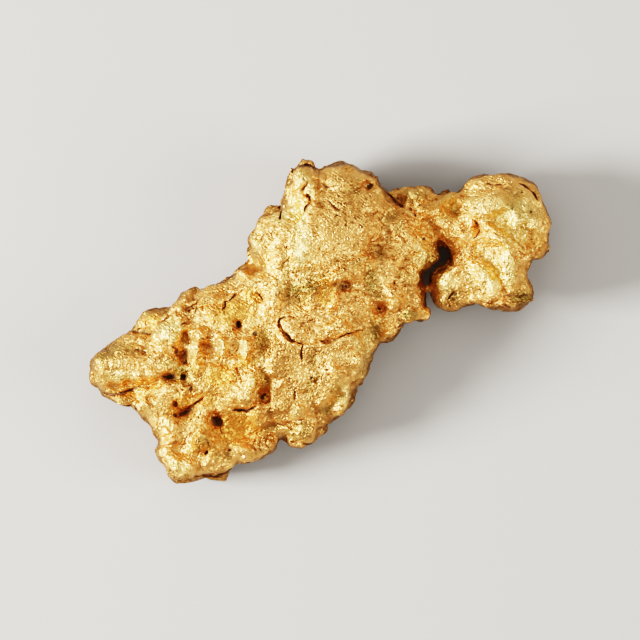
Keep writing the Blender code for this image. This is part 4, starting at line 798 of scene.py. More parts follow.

# %% [markdown]
# ## Where the grain shows
# The grain is worn away on the high places that a stone rubs first, and elsewhere it is rough in patches.
# The flats that the nugget lies on have none, and on the flanks round knobs take the place of part of it.
# The tree could work that out by itself from slopes and heights, but the worn places are listed one by one.
# So their strength is stored on the skin's points under a name, and the tree reads it.

# %% Worn places
WORN_PLACES = [             # x, y, spread, and how much of the grain is gone
    (2.3, 7.6, 2.2, 0.55), (0.3, 4.2, 1.5, 0.55), (-2.8, -3.6, 1.2, 0.6), (0.6, -2.4, 1.8, 0.45),
    (17.6, 8.2, 0.9, 0.85), (-7.0, -9.0, 1.3, 0.8), (-7.2, -0.3, 1.3, 0.7), (1.9, 11.6, 1.0, 0.6),
    (-11.9, -4.6, 0.6, 0.7), (0.5, 2.2, 0.6, 0.6), (-12.4, -0.9, 0.8, 0.9), (-8.2, -2.3, 0.5, 0.8),
    (-6.2, -2.3, 0.5, 0.8), (-5.5, -4.9, 0.5, 0.7), (-3.0, -6.8, 1.0, 0.6), (-7.0, -8.6, 1.6, 0.7),
    (-2.9, -0.6, 0.6, 0.6), (6.9, 6.8, 1.1, 0.5), (-4.6, -1.6, 0.6, 0.7), (-4.5, -5.0, 0.6, 0.7),
    (16.3, 3.6, 0.8, 0.6), (-8.6, -12.0, 1.2, 0.6), (-6.0, 1.8, 1.2, 0.6), (-6.8, 0.4, 1.6, 0.85),
    (-15.6, -4.4, 1.6, 0.6), (-16.0, -2.5, 1.2, 0.6), (-11.0, -1.5, 0.6, 0.7), (-6.8, -2.0, 0.8, 0.6),
    (12.8, 3.2, 1.2, 0.5), (15.6, 9.4, 1.6, 0.5), (13.4, 8.9, 1.2, 0.4),
]


def worn_share(places):
    """How much of the grain is worn away."""
    worn = np.zeros(len(places))
    for x, y, spread, share in WORN_PLACES:
        squared = (places[:, 0] - x) ** 2 + (places[:, 1] - y) ** 2
        worn = np.maximum(worn, share * np.exp(-squared / (2.0 * spread ** 2)))
    return worn


print("worn places:", len(WORN_PLACES))

# %% The strength of grain and knobs
GROUND_LEVELS = (0.10, 0.40)    # height over which grain comes up from the worn flats, in mm
GRAIN_PATCH = 1.8           # the grain is rougher here and smoother there, in patches of this size
GRAIN_MEAN = 0.75           # its mean strength there, and how far it swings to both sides
GRAIN_SWING = 0.45
GRAIN_PATCH_SEED = 61
KNOB_PATCH = 3.0            # the same for the knobs on the flanks
KNOB_MEAN = 0.7
KNOB_SWING = 0.6
KNOB_LIMITS = (0.1, 1.2)
KNOB_PATCH_SEED = 67
FLANK_GRAIN = 0.8           # share of the grain that is left on the flanks


def set_attribute(mesh, name, values):
    """Stores one number for each point of the mesh."""
    layer = mesh.attributes.get(name) or mesh.attributes.new(name, "FLOAT", "POINT")
    layer.data.foreach_set("value", values.astype(np.float32))


def grain_strength(mesh):
    """The strength of the grain and that of the knobs, for each point."""
    position = points_of(mesh)
    places = places_of(position)
    looks_up = soft_step(*TOP_SLOPE, points_of(mesh, "normal")[:, 2])
    rough = GRAIN_MEAN + GRAIN_SWING * noise(places, GRAIN_PATCH, GRAIN_PATCH_SEED)
    strength = (1.0 - worn_share(places) * looks_up) * rough
    strength *= FLANK_GRAIN + (1.0 - FLANK_GRAIN) * looks_up
    off_ground = soft_step(*GROUND_LEVELS, position[:, 2])
    patches = np.clip(KNOB_MEAN + KNOB_SWING * noise(places, KNOB_PATCH, KNOB_PATCH_SEED), *KNOB_LIMITS)
    return strength * off_ground, (1.0 - looks_up) * patches * off_ground


strength, knobby = grain_strength(skin)
set_attribute(skin, "grain strength", strength)
set_attribute(skin, "knob strength", knobby)
print("mean strength of grain and knobs:", round(float(strength.mean()), 2), round(float(knobby.mean()), 2))

# %% [markdown]
# ## The gold
# Native gold is gold with about a tenth of silver, so it is a little paler than a ring. Its surface was
# rolled by a river and not polished: a satin metal, with a grain that glints. Several things change its
# colour here, and some of them are painted light and shade. High places are burnished to a pale yellow, and
# the burnished places also carry painted highlights. Broad places keep a dull, pinkish matt skin, which also
# carries painted shade. Hollows are painted a deeper orange as painted bounce light: light that bounces twice
# in a hollow turns orange, because gold takes the blue out at each bounce. Clay and iron leave a thin amber,
# rusty or olive film in the low places, and the olive places also carry painted shade. The flanks are painted
# brown as painted shade on the steep sides. Dark brown earth, which isn't metal at all, fills the pits. Each
# of these is a number on the surface, and the material lays one colour over another by it.

# %% Colours, from sRGB to linear
def linear(code):
    """A colour written as sRGB hex, as the linear red, green, blue and alpha that nodes take."""
    channels = [int(code[i:i + 2], 16) / 255.0 for i in (1, 3, 5)]
    return tuple(c / 12.92 if c <= 0.04045 else ((c + 0.055) / 1.055) ** 2.4 for c in channels) + (1.0,)


WORN_GOLD = "#FFBC74"       # where nothing else lies on the metal
DARK_EARTH = "#6C4A2A"      # dull, and no metal
FILM_AND_PAINTED_LIGHT_COLOURS = {            # by the name of the number on the surface, from the lowest layer to the highest
    "hollow": "#E6B070",    # painted bounce light: gold that only sees gold, a deeper orange in hollows
    "burnish": "#FFD488",   # high places, rubbed pale, and painted highlights
    "skin": "#C88E54",      # matt and pinkish, on broad high places, and painted shade
    "amber": "#F0A04C",     # thin iron film
    "rust": "#B07C40",      # thick iron film, more than half of it no metal
    "olive": "#A0844C",     # clay, and painted shade
    "flank": "#8C6236",     # painted shade on the steep sides, dark brown
}
print("films:", FILM_AND_PAINTED_LIGHT_COLOURS)

# %% Sizes of the patterns on native gold, and its polish
BLOTCH_SIZE = 1.4           # patches that are rubbed more or less, in mm
BLOTCH_DULLS = 0.2          # and how much the roughness swings with them
BLOTCH_DETAIL = 4.0         # rounds of finer noise in the patches
SPECKLE_SIZE = 0.30         # ragged edges of film and earth
SPECKLE_DETAIL = 3.0
SPECKLE_GAIN = (1.6, 0.2)   # a film's share is multiplied by the speckle times the first plus the second
EARTH_EDGE = (0.25, 0.60)   # the earth's share at its edge and where it covers the gold
EARTH_DULLS = 0.4           # roughness that earth adds
RUST_COVERS = 0.6           # share of the metal that rust hides
GLINT_SIZE = 0.22           # facets that catch the light one by one
GLINT_RISE = 0.17
WRINKLE_SIZE = 0.55         # creases like those of crushed foil
WRINKLE_RISE = 0.07
FINE_GRAIN_SIZE = 0.12      # really a few hundredths, drawn as coarse as it has to be to show
FINE_GRAIN_RISE = 0.04
FINE_GRAIN_DETAIL = 2.0
GRAIN_TURN = (0.5, 0.4, 0.7)    # the patterns lie askew, in radians, so that no row of them follows a side
POLISH = (0.34, 0.56)       # roughness of the smoothest and of the dullest facet
FACET_RANGE = (0.2, 0.8)    # random numbers of the facets between which the polish changes
print("roughness of the facets:", POLISH)

# %% Films and painted light, and the finest relief
def film_and_painted_light_over(tree, colour, share, code):
    """Lays one colour over another by its share, for films and earth and for painted highlight, shade and
    bounce light.
    """
    return add_node(tree, "ShaderNodeMix", {"Factor": share, 6: colour, 7: linear(code)},
                    data_type="RGBA").outputs[2]


def gold_relief(tree, ruler):
    """The finest relief as a bump: glinting facets, wrinkles like those of crushed foil, and a fine grain."""
    glints = facets(tree, ruler, GLINT_SIZE, GLINT_RISE)
    fine = add_node(tree, "ShaderNodeTexNoise",
                    {"Vector": ruler, "Scale": 1.0 / FINE_GRAIN_SIZE,
                     "Detail": FINE_GRAIN_DETAIL}).outputs["Fac"]
    wrinkles = crumple(tree, ruler, WRINKLE_SIZE, WRINKLE_RISE)
    height = add_node(tree, "ShaderNodeMath", {0: fine, 1: FINE_GRAIN_RISE, 2: glints},
                      operation="MULTIPLY_ADD")
    height = add_node(tree, "ShaderNodeMath", {0: height.outputs[0], 1: wrinkles}, operation="ADD")
    bump = add_node(tree, "ShaderNodeBump", {"Height": height.outputs[0], "Strength": 1.0, "Distance": MM})
    return bump.outputs[0]


print("size of the glinting facets, mm:", GLINT_SIZE)

# %% Native gold, river-worn: satin metal whose small facets glint one by one
def native_gold():
    material = bpy.data.materials.new("native gold, river-worn")
    material.use_nodes = True
    tree = material.node_tree
    shader = tree.nodes["Principled BSDF"]
    place = add_node(tree, "ShaderNodeTexCoord").outputs["Object"]
    ruler = add_node(tree, "ShaderNodeMapping",
                     {"Vector": place, "Rotation": GRAIN_TURN, "Scale": (1.0 / MM,) * 3}).outputs[0]
    blotch = add_node(tree, "ShaderNodeTexNoise",
                      {"Vector": ruler, "Scale": 1.0 / BLOTCH_SIZE, "Detail": BLOTCH_DETAIL}).outputs["Fac"]
    speckle = add_node(tree, "ShaderNodeTexNoise",
                       {"Vector": ruler, "Scale": 1.0 / SPECKLE_SIZE,
                        "Detail": SPECKLE_DETAIL}).outputs["Fac"]
    ragged = add_node(tree, "ShaderNodeMath", {0: speckle, 1: SPECKLE_GAIN[0], 2: SPECKLE_GAIN[1]},
                      operation="MULTIPLY_ADD").outputs[0]

    colour = linear(WORN_GOLD)
    share = {}
    # films and earth in their colours; hollow paints bounce light, flank paints shade, and burnish, skin and
    # olive paint highlight and shade besides
    for name, code in FILM_AND_PAINTED_LIGHT_COLOURS.items():
        amount = add_node(tree, "ShaderNodeAttribute", attribute_name=name).outputs["Fac"]
        share[name] = add_node(tree, "ShaderNodeMath", {0: amount, 1: ragged}, operation="MULTIPLY",
                               use_clamp=True).outputs[0]
        colour = film_and_painted_light_over(tree, colour, share[name], code)
    amount = add_node(tree, "ShaderNodeAttribute", attribute_name="earth").outputs["Fac"]
    packed = add_node(tree, "ShaderNodeMath", {0: amount, 1: ragged}, operation="MULTIPLY").outputs[0]
    earth = add_node(tree, "ShaderNodeMapRange",
                     {"Value": packed, "From Min": EARTH_EDGE[0], "From Max": EARTH_EDGE[1]},
                     interpolation_type="SMOOTHSTEP").outputs[0]
    colour = film_and_painted_light_over(tree, colour, earth, DARK_EARTH)
    tree.links.new(colour, shader.inputs["Base Color"])

    metal = add_node(tree, "ShaderNodeMath", {0: share["rust"], 1: -RUST_COVERS, 2: 1.0},
                     operation="MULTIPLY_ADD").outputs[0]
    metal = add_node(tree, "ShaderNodeMath", {0: earth, 1: -1.0, 2: metal}, operation="MULTIPLY_ADD",
                     use_clamp=True).outputs[0]
    tree.links.new(metal, shader.inputs["Metallic"])
    facet = add_node(tree, "ShaderNodeTexVoronoi",
                     {"Vector": ruler, "Scale": 1.0 / GLINT_SIZE}).outputs["Color"]
    polish = add_node(tree, "ShaderNodeMapRange",
                      {"Value": facet, "From Min": FACET_RANGE[0], "From Max": FACET_RANGE[1],
                       "To Min": POLISH[0], "To Max": POLISH[1]})
    dull = add_node(tree, "ShaderNodeMath", {0: blotch, 1: BLOTCH_DULLS, 2: -0.5 * BLOTCH_DULLS},
                    operation="MULTIPLY_ADD").outputs[0]
    dull = add_node(tree, "ShaderNodeMath", {0: earth, 1: EARTH_DULLS, 2: dull},
                    operation="MULTIPLY_ADD").outputs[0]
    roughness = add_node(tree, "ShaderNodeMath", {0: polish.outputs[0], 1: dull},
                         operation="ADD", use_clamp=True)
    tree.links.new(roughness.outputs[0], shader.inputs["Roughness"])
    tree.links.new(gold_relief(tree, ruler), shader.inputs["Normal"])
    return material


gold = native_gold()
print("gold:", len(gold.node_tree.nodes), "nodes")

# %% [markdown]
# ## Growing the grain
# The tree goes on the skin as a modifier, with its inputs set by the sockets' identifiers. A Decimate
# behind it takes faces away where the surface is calm and leaves them where it is rough, so the nugget
# stays light enough to share. Then the result is made a plain mesh.

# %% The nugget as one mesh
NUGGET_TRIANGLES = 190000
SQUARE_SPLITS = 2.0         # each square face of the skin counts as this many triangles


def grown(mesh, tree, material):
    """The skin with its grain, lightened, as a plain mesh."""
    thing = bpy.data.objects.new("skin with grain", mesh)
    bpy.context.scene.collection.objects.link(thing)
    grow = thing.modifiers.new("grain", "NODES")
    grow.node_group = tree
    for item in tree.interface.items_tree:
        if item.in_out == "INPUT" and item.name in GRAIN_INPUTS:
            grow[item.identifier] = GRAIN_INPUTS[item.name]
        if item.in_out == "INPUT" and item.name == "Material":
            grow[item.identifier] = material
    lighten = thing.modifiers.new("lighten", "DECIMATE")
    lighten.ratio = min(1.0, NUGGET_TRIANGLES / (SQUARE_SPLITS * len(mesh.polygons)))
    lighten.use_collapse_triangulate = True
    return finished_mesh(thing, "gold nugget")


surface = grown(skin, grain, gold)
print("with grain:", len(surface.polygons), "triangles")

# %% [markdown]
# ## Held to its size
# The solid says how large the nugget is and where it lies. The grain may push a point a hair past that box
# or below the ground. Scaling the whole mesh would move every form for the sake of a few points, so only
# those points are held back.

# %% Held inside the solid's box
def held_in_box(mesh, box):
    """Moves points that lie outside the box onto it, and counts them."""
    position = points_of(mesh)
    low = np.array(box[0]) / MM
    high = np.array(box[1]) / MM
    outside = np.any((position < low) | (position > high), axis=1)
    move_points(mesh, np.clip(position, low, high))
    return int(outside.sum())


held = held_in_box(surface, cad_box)
print("points held back:", held)

# %% [markdown]
# ## Where films, earth, painted highlights and painted shade lie
# Rust, amber and olive film seep from the pits and gather in troughs, and the burnished and the matt places
# lie where stones rubbed or didn't. The burnished places also carry painted highlights, and the matt and the
# olive places painted shade. Noise could scatter them, but on the real thing they go with its forms,
# so each is an oval at its own place, with a turn in degrees and a strength. Ovals that overlap don't add
# up, and the speckle in the material gives them their ragged edges.

# %% Thick rust
FilmAndPaintedLight = namedtuple("FilmAndPaintedLight", "x y along across turn strength")

RUST = [
    FilmAndPaintedLight(-10.8, -2.9, 0.8, 0.5, 70, 0.6), FilmAndPaintedLight(-10.6, -7.3, 1.2, 0.7, 35, 0.6),
    FilmAndPaintedLight(-16.4, -5.3, 0.6, 0.35, -25, 0.52), FilmAndPaintedLight(-8.6, -2.1, 0.6, 0.5, 0, 0.45),
    FilmAndPaintedLight(-8.3, -4.2, 1.5, 1.0, 10, 0.23), FilmAndPaintedLight(-10.9, -8.6, 0.9, 0.5, 75, 0.36),
    FilmAndPaintedLight(-6.9, -8.4, 1.8, 1.3, 20, 0.36), FilmAndPaintedLight(-5.0, -8.3, 0.6, 0.4, 20, 0.52),
    FilmAndPaintedLight(-8.4, -9.0, 0.9, 0.5, 0, 0.39), FilmAndPaintedLight(-7.3, -10.3, 1.3, 0.5, 10, 0.36),
    FilmAndPaintedLight(-5.1, -3.2, 0.8, 0.4, 30, 0.39), FilmAndPaintedLight(-9.4, -4.4, 0.3, 0.7, 0, 0.45),
    FilmAndPaintedLight(-12.6, -6.8, 1.2, 0.6, 0, 0.23), FilmAndPaintedLight(-13.3, 0.0, 0.9, 0.5, 0, 0.29),
    FilmAndPaintedLight(-6.9, 0.4, 1.5, 1.0, 0, 0.45), FilmAndPaintedLight(0.6, 2.2, 0.6, 0.8, 0, 0.75),
    FilmAndPaintedLight(1.6, 2.7, 0.7, 0.4, 10, 0.75), FilmAndPaintedLight(1.2, -5.9, 0.45, 0.8, -15, 0.52),
    FilmAndPaintedLight(-1.3, -0.35, 0.6, 0.15, 15, 0.52), FilmAndPaintedLight(1.3, -1.6, 1.3, 0.2, 20, 0.45),
    FilmAndPaintedLight(9.0, 7.2, 0.5, 1.0, 35, 0.30), FilmAndPaintedLight(9.1, 5.9, 0.5, 1.0, -10, 0.2),
    FilmAndPaintedLight(6.3, 9.6, 0.5, 0.4, -40, 0.25), FilmAndPaintedLight(10.6, 9.3, 0.3, 0.6, 0, 0.1),
    FilmAndPaintedLight(10.4, 6.4, 1.0, 1.0, 0, 0.29), FilmAndPaintedLight(16.8, 8.6, 0.5, 0.5, 0, 0.29),
    FilmAndPaintedLight(17.6, 5.9, 1.0, 0.7, 0, 0.10), FilmAndPaintedLight(14.3, 7.0, 0.8, 0.3, -20, 0.12),
    FilmAndPaintedLight(-4.9, 5.3, 0.8, 0.4, 30, 0.33), FilmAndPaintedLight(-2.3, 7.3, 0.5, 0.2, 30, 0.39),
    FilmAndPaintedLight(-4.7, 3.8, 0.4, 0.3, 0, 0.29), FilmAndPaintedLight(-3.2, 8.6, 0.2, 0.5, 0, 0.39),
    FilmAndPaintedLight(-0.2, 11.9, 0.2, 0.4, 0, 0.33), FilmAndPaintedLight(4.5, 0.6, 0.4, 0.6, 10, 0.10),
    FilmAndPaintedLight(-2.0, -6.7, 0.15, 0.6, 0, 0.39), FilmAndPaintedLight(1.6, -4.5, 0.8, 0.3, 10, 0.23),
    FilmAndPaintedLight(-15.5, -6.4, 0.8, 0.4, -10, 0.26), FilmAndPaintedLight(-9.7, 1.8, 0.4, 0.6, 20, 0.23),
    FilmAndPaintedLight(11.6, 5.6, 0.7, 0.4, 0, 0.23), FilmAndPaintedLight(-9.0, -6.3, 1.2, 0.6, 10, 0.23),
]
print("places with rust:", len(RUST))

# %% Thin amber film
AMBER = [
    FilmAndPaintedLight(-6.9, 0.6, 1.7, 1.1, 0, 1.0), FilmAndPaintedLight(-5.4, 1.9, 1.0, 0.6, -20, 0.8),
    FilmAndPaintedLight(-7.9, -4.6, 1.3, 1.0, 0, 0.9), FilmAndPaintedLight(-7.0, -8.6, 2.2, 1.4, 10, 1.1),
    FilmAndPaintedLight(-10.9, -7.1, 1.3, 1.0, 30, 0.9), FilmAndPaintedLight(-4.6, -5.0, 0.5, 1.0, 0, 0.6),
    FilmAndPaintedLight(-5.6, -3.2, 0.9, 0.5, 20, 0.8), FilmAndPaintedLight(-9.0, -6.4, 1.1, 0.7, 0, 0.6),
    FilmAndPaintedLight(0.5, 2.2, 0.7, 1.0, 0, 1.2), FilmAndPaintedLight(1.2, -5.9, 0.5, 0.8, -15, 0.5),
    FilmAndPaintedLight(-13.4, 0.0, 0.8, 0.5, 0, 0.8), FilmAndPaintedLight(8.8, 6.6, 0.7, 1.2, 15, 0.3),
    FilmAndPaintedLight(-4.6, -1.8, 0.5, 1.0, 0, 0.6), FilmAndPaintedLight(-13.6, -5.0, 1.4, 0.4, 10, 0.6),
    FilmAndPaintedLight(-9.6, -3.6, 0.6, 0.9, 0, 0.6), FilmAndPaintedLight(-4.8, 4.2, 0.9, 0.7, 30, 0.5),
    FilmAndPaintedLight(9.0, 9.2, 1.2, 0.7, 0, 0.2), FilmAndPaintedLight(17.4, 6.2, 0.9, 0.8, 0, 0.4),
    FilmAndPaintedLight(-9.0, -10.2, 1.4, 0.8, 0, 0.5), FilmAndPaintedLight(4.6, -0.2, 0.7, 1.2, 0, 0.25),
    FilmAndPaintedLight(-15.8, -5.6, 0.9, 0.4, 0, 0.5),
]
print("places with amber film:", len(AMBER))

# %% Olive film and painted shade
# painted shade on the tip's north side, under the tip and below the ledge, besides clay film
OLIVE_FILM_AND_PAINTED_SHADE = [
    FilmAndPaintedLight(-17.0, -2.6, 1.7, 0.6, 32, 0.6), FilmAndPaintedLight(-15.2, -2.4, 1.0, 0.3, 5, 0.4),
    FilmAndPaintedLight(-1.4, 2.6, 1.5, 0.7, 20, 0.9), FilmAndPaintedLight(-11.0, -4.3, 1.0, 0.8, 0, 0.9),
    FilmAndPaintedLight(16.3, 1.7, 1.1, 0.6, 0, 0.9), FilmAndPaintedLight(7.2, 0.3, 0.8, 0.5, 0, 0.8),
    FilmAndPaintedLight(-1.9, -8.9, 1.3, 0.7, 10, 0.5), FilmAndPaintedLight(-14.0, 0.5, 0.6, 0.4, 0, 0.7),
    FilmAndPaintedLight(-10.6, -1.5, 0.3, 0.8, 0, 0.5), FilmAndPaintedLight(-4.7, -1.7, 0.45, 1.0, -5, 0.85),
    FilmAndPaintedLight(-4.4, -4.7, 0.4, 0.9, 10, 0.45), FilmAndPaintedLight(-12.0, -3.4, 0.8, 0.5, 0, 0.6),
    FilmAndPaintedLight(-14.5, -5.5, 0.9, 0.3, 10, 0.6), FilmAndPaintedLight(-13.4, -5.4, 0.7, 0.4, 0, 0.45),
    FilmAndPaintedLight(-15.6, -6.1, 0.5, 0.3, 0, 0.5), FilmAndPaintedLight(-14.3, -0.9, 0.9, 0.2, -15, 0.6),
    FilmAndPaintedLight(-9.4, 1.3, 1.0, 0.4, 15, 0.35), FilmAndPaintedLight(-9.4, -9.7, 0.7, 0.9, 0, 0.4),
    FilmAndPaintedLight(-7.9, -10.8, 0.8, 0.3, 0, 0.55), FilmAndPaintedLight(-5.8, -6.6, 0.6, 0.3, 0, 0.4),
    FilmAndPaintedLight(-1.4, 1.7, 0.9, 0.5, 25, 0.55), FilmAndPaintedLight(4.1, 3.0, 0.6, 1.4, 8, 0.75),
    FilmAndPaintedLight(4.4, -0.9, 0.6, 0.9, 0, 0.75), FilmAndPaintedLight(4.9, 5.3, 0.4, 0.6, 20, 0.7),
    FilmAndPaintedLight(5.6, 8.2, 0.8, 0.5, 20, 0.6), FilmAndPaintedLight(-0.6, -4.8, 0.4, 0.7, -30, 0.7),
    FilmAndPaintedLight(-0.7, -5.8, 0.6, 0.9, 0, 0.4), FilmAndPaintedLight(0.4, -7.2, 0.6, 0.4, 30, 0.6),
    FilmAndPaintedLight(-2.5, 4.4, 0.5, 0.9, -10, 0.45), FilmAndPaintedLight(2.7, 10.6, 0.5, 0.9, 0, 0.35),
    FilmAndPaintedLight(7.4, 9.9, 1.2, 0.5, 0, 0.55), FilmAndPaintedLight(6.2, 7.3, 0.7, 0.6, -40, 0.3),
    FilmAndPaintedLight(6.9, 3.4, 0.7, 0.6, 0, 0.35), FilmAndPaintedLight(8.8, 4.8, 0.6, 0.5, 0, 0.6), FilmAndPaintedLight(12.6, 5.4, 0.5, 0.5, 0, 0.55),
    FilmAndPaintedLight(10.8, 1.8, 0.6, 0.5, 30, 0.55), FilmAndPaintedLight(10.9, 8.5, 0.4, 0.4, 0, 0.5),
    FilmAndPaintedLight(12.0, 3.2, 0.5, 0.7, 0, 0.4), FilmAndPaintedLight(15.2, 9.2, 0.5, 0.4, 0, 0.35),
    FilmAndPaintedLight(13.5, 7.7, 0.5, 0.4, 0, 0.35), FilmAndPaintedLight(16.2, 2.8, 0.6, 0.6, 0, 0.3),
    FilmAndPaintedLight(3.0, 4.4, 0.9, 0.4, 20, 0.35), FilmAndPaintedLight(-0.7, -3.2, 0.4, 0.8, 0, 0.45),
    FilmAndPaintedLight(-4.0, -8.6, 0.8, 0.3, 10, 0.5),
]
print("places with olive film:", len(OLIVE_FILM_AND_PAINTED_SHADE))

# %% Matt skin and painted shade
# painted shade on faces turned from the low lamp, besides a real matt skin
MATT_SKIN_AND_PAINTED_SHADE_PLACES = [
    FilmAndPaintedLight(1.8, 8.6, 2.4, 1.8, 60, 0.55), FilmAndPaintedLight(4.6, 6.6, 1.4, 2.0, 0, 0.45),
    FilmAndPaintedLight(-0.8, 2.5, 2.0, 0.8, 15, 0.80), FilmAndPaintedLight(1.2, 4.2, 1.5, 0.7, 20, 0.90),
    FilmAndPaintedLight(-3.1, -3.2, 1.1, 1.5, 0, 1.0), FilmAndPaintedLight(-0.4, -3.2, 0.9, 1.3, 0, 0.55),
    FilmAndPaintedLight(-0.4, -0.5, 2.2, 0.8, 10, 0.50), FilmAndPaintedLight(-3.2, -6.9, 1.3, 0.9, 10, 1.2),
    FilmAndPaintedLight(-1.8, -9.2, 1.3, 0.7, 10, 0.65), FilmAndPaintedLight(-4.5, -9.4, 1.0, 1.0, 0, 1.1),
    FilmAndPaintedLight(0.5, -8.0, 0.9, 0.6, 0, 1.1), FilmAndPaintedLight(-17.2, -2.7, 1.4, 0.45, 32, 1.0),
    FilmAndPaintedLight(-18.1, -3.8, 0.8, 1.6, 0, 1.2), FilmAndPaintedLight(-13.8, -1.2, 0.8, 0.9, 0, 0.7),
    FilmAndPaintedLight(-11.2, -5.2, 1.6, 0.8, 0, 0.9), FilmAndPaintedLight(6.0, 6.2, 0.9, 0.8, 0, 0.7),
    FilmAndPaintedLight(-0.9, 1.5, 1.1, 0.7, 0, 0.9), FilmAndPaintedLight(-10.2, -9.6, 0.8, 1.4, 0, 0.8),
    FilmAndPaintedLight(0.8, 10.9, 0.7, 0.8, 0, 0.6), FilmAndPaintedLight(-15.9, -6.1, 1.4, 0.4, -10, 0.9),
    FilmAndPaintedLight(-1.8, -8.6, 1.0, 0.5, 10, 0.9), FilmAndPaintedLight(-15.4, -2.5, 1.1, 0.35, 8, 0.75),
    FilmAndPaintedLight(-13.4, -6.4, 1.0, 0.8, 0, 0.9), FilmAndPaintedLight(-9.8, 0.9, 1.2, 0.6, 15, 0.5),
    FilmAndPaintedLight(-6.2, 2.4, 1.0, 0.5, 0, 0.6), FilmAndPaintedLight(-6.4, -4.2, 0.8, 0.9, 0, 0.5),
    FilmAndPaintedLight(-10.4, -8.3, 0.9, 0.9, 0, 0.9), FilmAndPaintedLight(0.4, 3.9, 1.4, 0.7, 15, 0.6),
    FilmAndPaintedLight(2.9, 6.4, 0.9, 0.9, 0, 0.4), FilmAndPaintedLight(-13.3, -5.4, 1.1, 0.5, 0, 0.75),
    FilmAndPaintedLight(-17.2, -5.6, 1.1, 0.4, -30, 0.6), FilmAndPaintedLight(-12.3, -3.2, 0.8, 0.6, 0, 0.8),
    FilmAndPaintedLight(-10.2, -4.0, 0.6, 0.9, 0, 0.45), FilmAndPaintedLight(-10.6, -7.8, 0.9, 0.6, 30, 0.6),
    FilmAndPaintedLight(7.2, 0.2, 0.9, 0.5, 0, 0.65), FilmAndPaintedLight(16.0, 1.6, 1.2, 0.5, 10, 0.95),
    FilmAndPaintedLight(13.6, 1.3, 1.4, 0.3, 0, 0.75), FilmAndPaintedLight(10.6, 1.3, 0.9, 0.5, 0, 0.8), FilmAndPaintedLight(7.5, 9.2, 1.1, 0.7, 0, 1.1),
    FilmAndPaintedLight(-8.4, -12.5, 1.7, 0.35, 3, 0.7), FilmAndPaintedLight(6.5, 5.5, 0.9, 1.4, 0, 0.4),
    FilmAndPaintedLight(6.9, 2.6, 1.1, 1.5, 0, 0.4), FilmAndPaintedLight(16.7, 3.4, 0.4, 1.0, 0, 0.6),
    FilmAndPaintedLight(1.9, 12.5, 1.3, 0.35, -5, 0.7), FilmAndPaintedLight(14.0, 11.5, 1.6, 0.3, 0, 0.6),
    FilmAndPaintedLight(-13.7, 0.3, 0.8, 0.5, 20, 0.5),
]
print("places with matt skin:", len(MATT_SKIN_AND_PAINTED_SHADE_PLACES))

# %% Burnished places and painted highlights
# painted highlights on faces the low lamp lights, and painted light on the shaded walls of the cleft, besides
# real burnish
BURNISH_AND_PAINTED_HIGHLIGHT_PLACES = [
    FilmAndPaintedLight(-11.9, -0.8, 1.0, 1.1, 0, 1.2), FilmAndPaintedLight(-1.5, 5.9, 0.7, 1.9, 5, 0.9),
    FilmAndPaintedLight(-1.7, 8.4, 0.7, 1.4, 0, 1.0), FilmAndPaintedLight(-3.0, 8.3, 0.8, 0.7, 0, 1.0),
    FilmAndPaintedLight(-1.4, 11.3, 0.6, 0.9, 0, 0.8), FilmAndPaintedLight(-5.2, 5.8, 0.6, 1.1, 0, 0.6),
    FilmAndPaintedLight(14.4, 8.6, 1.5, 1.3, 0, 0.6), FilmAndPaintedLight(16.6, 8.0, 0.8, 1.3, 0, 0.6), FilmAndPaintedLight(13.9, 3.6, 1.3, 1.4, 0, 0.8),
    FilmAndPaintedLight(15.0, 4.6, 0.5, 1.8, 0, 0.9), FilmAndPaintedLight(12.6, 9.4, 1.2, 0.9, 0, 0.6), FilmAndPaintedLight(3.4, -1.8, 0.9, 0.9, 0, 0.5),
    FilmAndPaintedLight(1.6, -6.0, 0.7, 1.0, 0, 1.0), FilmAndPaintedLight(-7.9, -2.3, 0.35, 0.8, 0, 1.0),
    FilmAndPaintedLight(-5.9, -2.2, 0.3, 0.8, 0, 1.0), FilmAndPaintedLight(-5.2, -4.9, 0.5, 0.6, 0, 0.8),
    FilmAndPaintedLight(-9.9, -2.6, 0.35, 1.3, 0, 0.7), FilmAndPaintedLight(-15.0, -1.8, 0.8, 0.35, 30, 0.6),
    FilmAndPaintedLight(-16.2, -4.4, 1.7, 0.5, 5, 0.6), FilmAndPaintedLight(-3.1, 3.0, 0.4, 1.1, 0, 0.6),
    FilmAndPaintedLight(-2.0, -7.2, 0.4, 0.6, 0, 0.7), FilmAndPaintedLight(-11.2, -11.9, 1.1, 0.6, 0, 0.6),
    FilmAndPaintedLight(-14.3, -7.2, 0.6, 0.8, -40, 0.5), FilmAndPaintedLight(10.2, 8.4, 0.7, 1.2, -40, 0.5),
    FilmAndPaintedLight(9.7, 3.2, 0.6, 1.3, 0, 0.5), FilmAndPaintedLight(9.2, 4.2, 1.3, 2.8, 10, 1.0), FilmAndPaintedLight(15.6, 8.2, 1.8, 1.9, 0, 1.1),
    FilmAndPaintedLight(16.0, 6.4, 1.0, 0.7, 0, 0.8), FilmAndPaintedLight(3.8, -3.6, 0.6, 1.4, -20, 0.6),
    FilmAndPaintedLight(-0.6, 10.5, 0.5, 1.0, 20, 0.6), FilmAndPaintedLight(-4.5, -5.7, 0.7, 0.9, 0, 0.9),
    FilmAndPaintedLight(10.5, 9.2, 0.7, 0.6, 0, 0.9),
]
print("burnished places:", len(BURNISH_AND_PAINTED_HIGHLIGHT_PLACES))

# %% [markdown]
# A hollow is a place that lies lower than the surface around it, and the material paints bounce light into
# it.
# Averaging each point with its neighbours many times gives the surface around it, and the distance to that
# is how sheltered the point is. Earth follows the pits and cracks that were pressed in, and spills a little
# over their edges. A flank is told by its slope, and gets painted shade. The walls of the cleft are left out
# of that painted shade, because they face each other and light each other.

